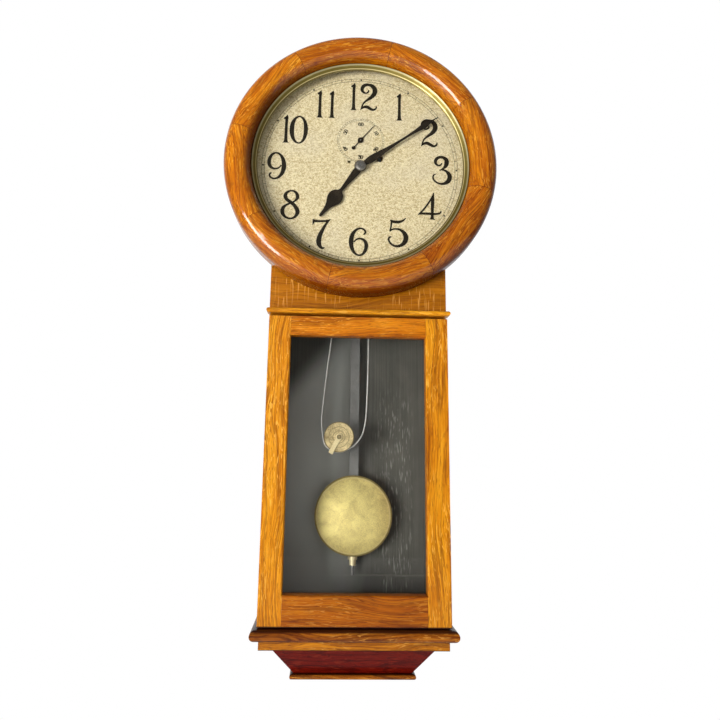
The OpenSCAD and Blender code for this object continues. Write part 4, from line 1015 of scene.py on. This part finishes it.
@dataclass
class TrunkDoor:
    """The glazed door of the trunk."""

    # Height and reach of the dark line of painted shade in the gap under the door.
    foot_shade: Pair = (-703.3, 1.7)
    rounding: float = 0.5

    def build(self) -> None:
        """Dresses the door."""
        dress(Oak("stile_oak", GOLDEN, Grain.UP, flecks=0.75, seed=53.0, shade_lines=self.foot_shade), "door_stiles")
        dress(Oak("rail_oak", HONEY, Grain.ACROSS, seed=59.0, shade_lines=self.foot_shade, shade=(500.0, 560.0)),
              "door_rails")
        dress(Oak("bead_oak", UMBER, Grain.UP, flecks=0.2, gloss=0.2, seed=61.0), "glazing_beads")
        dress(Glass("door_pane"), "door_glass")
        dress(Metal("hinge_brass", (0.62, 0.43, 0.15), (0.20, 0.13, 0.05), 0.3, 0.6), "door_hinge_leaves",
              "case_hinge_leaves", "ring_hinge_leaves", "door_catch", "dial_catch")
        ease_edges(self.rounding, "door_stiles", "door_rails")


@dataclass
class DialDoor:
    """The turned ring that carries the sight ring and the dial glass; its bands are given from the outside in."""

    bands: tuple[tuple[float, float, Colour], ...] = (
        (149.3, 0.8, (0.020, 0.012, 0.004)), (147.6, 0.9, (0.50, 0.44, 0.25)), (145.0, 1.6, (0.16, 0.12, 0.018)),
        (143.1, 0.6, (0.75, 0.62, 0.28)), (142.1, 0.5, (0.05, 0.040, 0.012)))

    def build(self) -> None:
        """Dresses the door."""
        dress(SegmentedOak("ring_oak", RUSSET, Grain.ACROSS, flecks=0.75, gloss=1.0, seed=67.0), "dial_ring")
        dress(Metal("sight_brass", (0.33, 0.26, 0.085), (0.17, 0.13, 0.040), 0.36, 0.8, 0.75, (0.0, DIAL_HEIGHT),
                    self.bands), "sight_ring")
        dress(Glass("dial_pane"), "dial_glass")


Glyph = tuple[tuple[tuple[tuple[float, float, float], ...], bool], ...]

# Numerals as strokes of x, z and width in millimetres, at their places on the dial; True closes a stroke.

TWO = ((((10.2, 120, .6), (10.8, 118.3, 1.3), (9.5, 116, 1.6), (6.5, 114.8, 1.6), (3, 116.5, 2.6), (1.3, 120, 3.4),
         (2.5, 124.5, 4), (6.5, 127.8, 3.6), (11, 128, 3), (15.5, 126.5, 4.4), (19, 122.5, 5), (19.8, 118, 5.4),
         (18.5, 113.5, 5), (15, 109, 4), (10, 104.8, 2.8), (6, 101.5, 2), (3.5, 98.5, 1.6), (1.5, 94, 1.3),
         (.3, 90.5, .8), (-.5, 88.5, .5)), False),
       (((0, 89.3, .6), (2.5, 91.8, 2.2), (5.5, 93.2, 3.2), (9, 93, 3.6), (13, 90.8, 3.4), (17, 89, 2.6), (20, 90, 2),
         (21.8, 92, 1.4), (21.8, 94.8, .8)), False))
THREE = ((((114.8, 10.8, .8), (113.5, 8.3, 1.6), (110.5, 6.9, 1.8), (107, 8.6, 2.4), (105.6, 12.5, 3.2),
           (107.3, 16.8, 3.4), (112, 19.6, 3), (117, 19, 3.4), (120.8, 16, 4.6), (121.5, 11.5, 5), (120, 6.5, 4),
           (116.8, 3, 2.2), (113, .3, 1.2), (111, 0, .8)), False),
         (((113.5, .5, .8), (118, 0, 1.8), (122, -2.5, 3), (125, -7, 4.6), (125.3, -11.5, 5), (123.3, -16, 4.8),
           (119, -19.3, 3.6), (113.5, -20.5, 2.2), (107.5, -18.8, 1.8), (103.3, -15, 1.8), (102, -11, 1.8),
           (103.2, -7.5, 1.4), (106, -6, .6)), False))
FOUR = ((((102.8, -34, .5), (101.6, -40, 2.6), (101, -48, 3.6), (100.6, -58, 3.2), (100.4, -66, 2.8), (100.2, -71, 3.6),
          (100, -73.5, 7.5)), False),
        (((101.5, -38.5, 1.6), (96.5, -47.5, 1.7), (90, -57, 1.8), (85, -63, 1.8), (80.8, -66.8, 1)), False),
        (((81, -66.7, .6), (84, -65.2, 2), (89, -64.9, 2.4), (95, -65, 2.6), (101, -65.2, 2.4), (106, -65, 2.2),
          (110, -64.2, 2), (112.3, -62.3, 1.4), (112, -60.3, .5)), False))
FIVE = ((((42.3, -75.3, .5), (44, -77, 2.2), (48, -78.2, 3), (54, -78.2, 3), (58.5, -76.8, 2.2), (61.5, -74.5, 1.4),
          (63.8, -72.2, .5)), False),
        (((44.3, -76.5, 2), (43.6, -83, 1.7), (42.8, -88, 1.5), (41.8, -92.3, 1.2)), False),
        (((42, -91.8, 1), (45, -89.3, 1.5), (50, -88.3, 1.8), (56, -89.6, 2.4), (61, -93.5, 4), (63.6, -99, 5.2),
          (63, -105, 5.2), (59.5, -110, 4), (54, -112.8, 2.8), (48, -112.6, 2.2), (42.8, -109.3, 1.9),
          (40.2, -104.5, 1.9), (40.8, -101, 1.8), (43.2, -99.8, 1), (43.6, -100.6, .4)), False))
SIX = ((((5.2, -97.2, .6), (7.2, -96.6, 1.6), (8.3, -94.2, 1.8), (6.8, -91, 1.8), (2.5, -89, 1.8), (-2, -89.8, 2.2),
         (-6.3, -93.2, 3), (-9.5, -98.5, 4.2), (-11, -105.5, 5), (-10.8, -113, 4.6), (-8.8, -120, 3.4),
         (-5, -125.3, 2.2), (0, -127.3, 1.8), (4.8, -125.5, 2.4), (8.2, -120.5, 3.4), (9.6, -114, 4),
         (8.6, -108.5, 3.6), (5.2, -104.8, 2.6), (.5, -103.6, 1.8), (-4, -105, 1.5), (-7.5, -109, 1)), False),)
SEVEN = ((((-62.8, -79.8, 3.4), (-57, -80.2, 2.4), (-50, -80, 2), (-44.5, -79.4, 2), (-39.5, -77.2, .6)), False),
         (((-64, -77.2, .6), (-62.7, -80, 2.4), (-63.4, -84, 1), (-64.2, -85.6, .3)), False),
         (((-40, -77.4, .6), (-43.5, -81, 1.8), (-46.8, -86, 2.6), (-50.5, -93, 3.6), (-53.8, -101, 4.8),
           (-55.2, -109, 5.4), (-53.8, -114.8, 4.2), (-51, -118.2, 2.6), (-48.5, -118.3, 1.6),
           (-46.9, -117.3, .6)), False))
EIGHT = ((((-93.8, -54.6, 3.6), (-88.8, -59.5, 3.8), (-85.2, -66.5, 4.6), (-87, -73, 3.2), (-91.5, -76.8, 2),
           (-97, -77.3, 1.8), (-102.5, -74.5, 2.6), (-105.8, -68.5, 4.2), (-104.8, -62, 3.6), (-100.5, -57.8, 2.2),
           (-93.8, -54.6, 1.8), (-88.8, -51.5, 2), (-85.8, -46.5, 3.8), (-87, -41, 3), (-91, -37.6, 2),
           (-96, -37.4, 1.8), (-100.8, -40.2, 2.8), (-102.6, -45, 4), (-100.3, -49.8, 3.6)), True),)
ONE = ((((-57, 116.8, .4), (-57.7, 113, 3), (-58.2, 106, 2.9), (-58.3, 95, 3), (-58.4, 84, 3.2), (-58.4, 78, 3.8),
         (-58.4, 75.6, 5.4), (-58.4, 74.4, 8)), False),
       (((-57.2, 115, 1.6), (-59.8, 112.2, 2.4), (-62, 111, 1.2)), False))
NOUGHT = ((((-86.8, 75, 1.6), (-81.5, 72, 2.4), (-78.3, 65, 3.6), (-77.2, 54.5, 4.6), (-78.6, 44, 3.6), (-82, 37, 2.2),
            (-86.8, 34.3, 1.4), (-92, 37, 2.4), (-95.6, 44, 4), (-96.9, 54.5, 5), (-95.6, 65, 4.2), (-92, 72, 2.6)),
           True),)


@dataclass(frozen=True)
class Track:
    """Sixty printed marks between two lines round a centre: a dot at every few of them, a tick at the others."""

    centre: Pair
    radii: Pair
    line: float
    sides: int
    gap: float
    tick: float
    fifth_tick: float
    dot: float
    dot_every: int


@dataclass
class Dial:
    """The painted dial plate and the printing on it."""

    face: float = 99.3
    lift: float = 0.005
    ink: float = 0.04
    dot_lift: float = 0.006
    dot_front: float = 0.044
    minutes: Track = Track((0.0, 0.0), (133.1, 136.9), 0.42, 240, 0.2, 0.55, 0.55, 1.25, 5)
    seconds: Track = Track((0.3, 41.0), (30.8, 33.0), 0.28, 120, 0.1, 0.3, 0.5, 0.75, 10)
    numbers_at: float = 25.0
    spacing: float = 3.5
    small: float = 0.132
    small_weight: float = 2.0
    small_steps: int = 2
    weight: float = 1.20
    hairline: float = 0.50

    def stroke(self, build: bmesh.types.BMesh, points: Sequence[Sequence[float]], closed: bool) -> None:
        """Adds one stroke of ink in dial coordinates."""
        ribbon(build, [(x, z + DIAL_HEIGHT, width) for x, z, width in points], self.face + self.lift,
               self.face + self.ink, closed)

    def numeral(self, build: bmesh.types.BMesh, glyph: Glyph, move: Matrix, scale: float = 1.0,
                steps: int = 5) -> None:
        """Adds a numeral.

        Args:
            build: Mesh to add to.
            glyph: Strokes of the numeral.
            move: Matrix from the glyph's coordinates to the dial's.
            scale: Scale of the stroke widths.
            steps: Smoothing steps between points.
        """
        for points, closed in glyph:
            path = []
            for x, z, width in smooth_path(points, steps, closed):
                spot = move @ Vector((x, z, 1.0))
                path.append((spot.x, spot.y, (width * self.weight + self.hairline) * scale))
            self.stroke(build, path, closed)

    def numerals(self) -> bmesh.types.BMesh:
        """Builds the twelve hour numbers; the nine is the six turned round.

        Returns:
            Their mesh.
        """
        build = bmesh.new()
        for glyph, dx, dz in ((TWO, 0, 0), (TWO, 86.3, -53), (THREE, 0, 0), (FOUR, 0, 0), (FIVE, 0, 0), (SIX, 0, 0),
                              (SEVEN, 0, 0), (EIGHT, 0, 0), (NOUGHT, 0, 0), (ONE, 0, 0), (ONE, 17.3, 0),
                              (ONE, 113.2, -0.7), (ONE, 47.9, 13.2), (ONE, -46.5, -40.1)):
            self.numeral(build, glyph, Matrix(((1, 0, dx), (0, 1, dz), (0, 0, 1))))
        self.numeral(build, SIX, Matrix(((-1, 0, -117.2), (0, -1, -108.8), (0, 0, 1))))
        return build

    def marks(self, track: Track) -> bmesh.types.BMesh:
        """Builds a track's two lines, ticks and dots.

        Args:
            track: The track.

        Returns:
            Their mesh.
        """
        build = bmesh.new()
        inner, outer = track.radii
        for radius in track.radii:
            self.stroke(build, [(x, z, track.line) for x, z in circle(track.centre, radius, track.sides)], True)
        for mark in range(60):
            turn = 6.0 * mark
            if mark % track.dot_every:
                width = track.tick if mark % 5 else track.fifth_tick
                ends = (around(track.centre, turn, reach) for reach in (inner + track.gap, outer - track.gap))
                self.stroke(build, [(x, z, width) for x, z in ends], False)
            else:
                x, z = around(track.centre, turn, (inner + outer) / 2)
                prism(build, circle((x, z + DIAL_HEIGHT), track.dot), self.face + self.dot_lift,
                      self.face + self.dot_front)
        return build

    def small_seconds(self) -> bmesh.types.BMesh:
        """Builds the track of the seconds with its numbers.

        Returns:
            Their mesh.
        """
        build = self.marks(self.seconds)
        for glyph, turn, tilt in ((ONE, 60, 60), (TWO, 120, -60), (THREE, 180, 0), (FOUR, 240, 60), (FIVE, 300, -60),
                                  (SIX, 0, 0)):
            self.small_number(build, glyph, turn, tilt)
        return build

    def small_number(self, build: bmesh.types.BMesh, tens: Glyph, turn: float, tilt: float) -> None:
        """Adds a number of tens and a nought inside the seconds circle.

        Args:
            build: Mesh to add to.
            tens: Glyph of the first figure.
            turn: Clockwise place on the circle in degrees.
            tilt: Clockwise lean of the number in degrees.
        """
        centre = Vector(around(self.seconds.centre, turn, self.numbers_at))
        lean = Matrix.Rotation(-math.radians(tilt), 2)
        for glyph, offset in ((tens, -self.spacing / 2), (NOUGHT, self.spacing / 2)):
            columns = list(zip(*((x, z) for points, _ in glyph for x, z, _ in points)))
            middle = Vector([(min(column) + max(column)) / 2 for column in columns])
            home = lean @ Vector((offset, 0.0)) - lean @ middle * self.small + centre
            move = Matrix(((lean[0][0] * self.small, lean[0][1] * self.small, home.x),
                           (lean[1][0] * self.small, lean[1][1] * self.small, home.y), (0, 0, 1)))
            self.numeral(build, glyph, move, self.small * self.small_weight, self.small_steps)

    def build(self) -> None:
        """Dresses the dial and prints it."""
        dress(DialPaint(), "dial_plate")
        ink = Ink().material()
        for name, printed in (("hour_numbers", self.numerals()), ("minute_track", self.marks(self.minutes)),
                              ("seconds_printing", self.small_seconds())):
            settle(mesh_piece(name, printed, ink), "case")


@dataclass
class Hands:
    """The three hands and the nut in front of them."""

    nut_at: Pair = (0.0, DIAL_HEIGHT)

    def build(self) -> None:
        """Dresses the hands."""
        dress(BlackPaint(), "minute_hand", "hour_hand", "seconds_hand")
        dress(Metal("nut_steel", (0.30, 0.285, 0.26), (0.10, 0.09, 0.075), 0.26, 0.8, 0.8, self.nut_at), "hand_nut")


@dataclass
class Movement:
    """Plates, train, drum and escapement."""

    def build(self) -> None:
        """Dresses the movement."""
        dress(Metal("plate_brass", (0.66, 0.47, 0.17), (0.24, 0.16, 0.06), 0.28, 0.6), "back_plate", "front_plate",
              "plate_pillars", "suspension_cock", "crutch")
        dress(Metal("wheel_brass", (0.70, 0.50, 0.18), (0.30, 0.20, 0.07), 0.24, 0.5), "great_wheel", "winding_drum",
              "centre_wheel", "third_wheel", "escape_wheel", "minute_wheel", "hour_wheel")
        dress(Metal("arbor_steel", (0.50, 0.50, 0.50), (0.20, 0.18, 0.16), 0.22, 0.4), "winding_arbor", "centre_arbor",
              "cannon_pinion", "third_arbor", "escape_arbor", "click", "pallets", "plate_studs", "suspension_spring")
        dress(Metal("post_iron", (0.15, 0.15, 0.155), (0.08, 0.055, 0.035), 0.45, 0.6), "movement_posts")


@dataclass
class Pendulum:
    """The pendulum's rod, bob and rating nuts; the bob's rim and bead are given inwards from its edge."""

    rim: tuple[float, float, Colour] = (0.8, 1.6, (0.20, 0.14, 0.05))
    bead: tuple[float, float, Colour] = (3.4, 0.9, (0.85, 0.70, 0.32))

    def build(self) -> None:
        """Dresses the pendulum."""
        dress(Metal("rod_steel", (0.24, 0.24, 0.23), (0.12, 0.117, 0.11), 0.36, 0.5, 0.5), "pendulum_rod")
        low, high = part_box("bob")
        middle = ((low[0] + high[0]) / 2 / MM, (low[2] + high[2]) / 2 / MM)
        edge = (high[0] - low[0]) / 2 / MM
        bands = tuple((edge - inwards, reach, tint) for inwards, reach, tint in (self.rim, self.bead))
        dress(Metal("bob_brass", (0.98, 0.84, 0.32), (0.56, 0.43, 0.16), 0.38, 0.85, 0.5, middle, bands), "bob")
        dress(Metal("nut_brass", (0.90, 0.80, 0.50), (0.42, 0.32, 0.15), 0.28, 0.5, 0.6), "rating_nuts")


@dataclass
class CableRun:
    """The twisted cable, its pulley and the stirrup; the lines are given from the dial's centre."""

    forward: float = 61.1
    strand_at: float = 0.60
    strand: float = 0.36
    strands: int = 6
    lay: float = 9.0
    step: float = 1.2
    sides: int = 24
    fineness: int = 24
    smooth: float = 60.0
    pulley_at: Pair = (-22.0, -368.8)
    wrap: float = 19.5
    wrap_turns: Pair = (240.0, 296.0)
    wrap_points: int = 15
    wrap_start: float = 3.0
    rise_start: float = 5.0
    fall: tuple[Pair, ...] = (
        (-24, -42), (-24.6, -70), (-28.5, -160), (-34.6, -235), (-39.6, -278), (-43.9, -323), (-45.7, -343),
        (-45.1, -356), (-43.7, -367), (-41.9, -375.6), (-38.3, -381.9))
    rise: tuple[Pair, ...] = (
        (-2.2, -380), (7.2, -368.6), (11.9, -355), (14.1, -338), (15.2, -311), (15.9, -278), (16.2, -234),
        (16.2, -120), (15.9, -30), (15.9, 14.18))
    rings: tuple[tuple[float, float, Colour], ...] = (
        (19.6, 0.9, (0.12, 0.085, 0.03)), (13.5, 0.5, (0.20, 0.15, 0.06)), (8.0, 0.6, (0.20, 0.15, 0.06)))

    def bend(self) -> list[Pair]:
        """Follows the pulley's groove.

        Returns:
            Points of the cable in it.
        """
        first, last = (math.radians(turn) for turn in self.wrap_turns)
        turns = [first + (last - first) * i / (self.wrap_points - 1) for i in range(self.wrap_points)]
        x, z = self.pulley_at
        return [(x + self.wrap * math.cos(turn), z + self.wrap * math.sin(turn)) for turn in turns]

    def evenly(self, points: Sequence[Pair]) -> list[Vector]:
        """Walks along a smooth line in equal steps.

        Args:
            points: Points that the line goes through.

        Returns:
            The ends of the steps.
        """
        line = [Vector(point) for point in smooth_path(points, self.fineness)]
        total = sum((b - a).length for a, b in zip(line, line[1:]))
        count = max(2, round(total / self.step))
        spots, walked, index = [line[0]], 0.0, 0
        for i in range(1, count):
            goal = total * i / count
            while walked + (line[index + 1] - line[index]).length < goal:
                walked += (line[index + 1] - line[index]).length
                index += 1
            part = line[index + 1] - line[index]
            spots.append(line[index] + part * ((goal - walked) / part.length))
        return [*spots, line[-1]]

    def profile(self, turn: float) -> float:
        """Measures the twisted cable's outline.

        Args:
            turn: Angle from the middle of the first strand.

        Returns:
            Distance from the cable's middle to its surface.
        """
        pitch = math.tau / self.strands
        away = (turn + pitch / 2) % pitch - pitch / 2
        reach = self.strand_at * math.sin(away)
        return self.strand_at * math.cos(away) + math.sqrt(max(self.strand ** 2 - reach ** 2, 0.0))

    def rope(self, name: str, points: Sequence[Pair], wire: bpy.types.Material, start: float = 0.0) -> bpy.types.Object:
        """Builds a stretch of twisted cable.

        Args:
            name: Name of the piece.
            points: Its line.
            wire: Its material.
            start: Distance along the twist at its first point.

        Returns:
            The piece.
        """
        line = self.evenly(points)
        build = bmesh.new()
        rings, walked = [], start
        for i, spot in enumerate(line):
            ahead = (line[min(i + 1, len(line) - 1)] - line[max(i - 1, 0)]).normalized()
            side = Vector((-ahead.y, ahead.x))
            walked += (spot - line[i - 1]).length if i else 0.0
            twist = math.tau * walked / self.lay
            ring = []
            for k in range(self.sides):
                turn = math.tau * k / self.sides
                reach = self.profile(turn - twist)
                x, height = spot + side * (reach * math.cos(turn))
                ring.append(build.verts.new((x * MM, -(self.forward + reach * math.sin(turn)) * MM,
                                             (height + DIAL_HEIGHT) * MM)))
            rings.append(ring)
        for one, two in zip(rings, rings[1:]):
            bridge(build, one, two)
        build.faces.new(rings[0])
        build.faces.new(rings[-1])
        return mesh_piece(name, build, wire, self.smooth)

    def spot(self, point: Pair) -> tuple[float, float, float]:
        """A point of the line in the shared frame."""
        return point[0] * MM, -self.forward * MM, (point[1] + DIAL_HEIGHT) * MM

    def build(self) -> None:
        """Makes the cable and dresses what carries it."""
        wire = Metal("cable_steel", (0.85, 0.85, 0.82), (0.42, 0.41, 0.37), 0.26, 0.5, 0.8).material()
        groove = self.bend()
        fall = self.rope("cable_fall_strands", [*self.fall, groove[0]], wire)
        self.spot(self.fall[0])
        self.spot(groove[0])
        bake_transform(fall)
        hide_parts("cable_fall")
        bend = settle(self.rope("cable_wrap_strands", groove, wire, self.wrap_start), "pulley_block")
        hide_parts("cable_wrap")
        rise = self.rope("cable_rise_strands", [groove[-1], *self.rise], wire, self.rise_start)
        self.spot(self.rise[-1])
        self.spot(groove[-1])
        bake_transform(rise)
        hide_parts("cable_rise")
        middle = (self.pulley_at[0], self.pulley_at[1] + DIAL_HEIGHT)
        dress(Metal("pulley_brass", (0.82, 0.67, 0.36), (0.24, 0.18, 0.08), 0.36, 1.0, 0.5, middle, self.rings),
              "pulley")
        dress(Metal("stirrup_brass", (0.93, 0.80, 0.47), (0.60, 0.47, 0.22), 0.30, 0.5, 0.5), "stirrup")
        dress(Metal("axle_brass", (0.40, 0.32, 0.16), (0.12, 0.09, 0.05), 0.30, 0.6, 0.7), "pulley_axle")


def main() -> None:
    """Builds the clock's looks in order."""
    logging.basicConfig(level=logging.INFO, format="%(message)s")
    studio = Studio()
    studio.camera()
    for part in (CableRun(), CaseWork(), TrunkDoor(), DialDoor(), Dial(), Hands(), Movement(), Pendulum()):
        part.build()
        LOG.info("%s built", type(part).__name__)
    studio.light()
    studio.floor()
    studio.backdrop()
    studio.world()


if __name__ == "__main__":
    main()
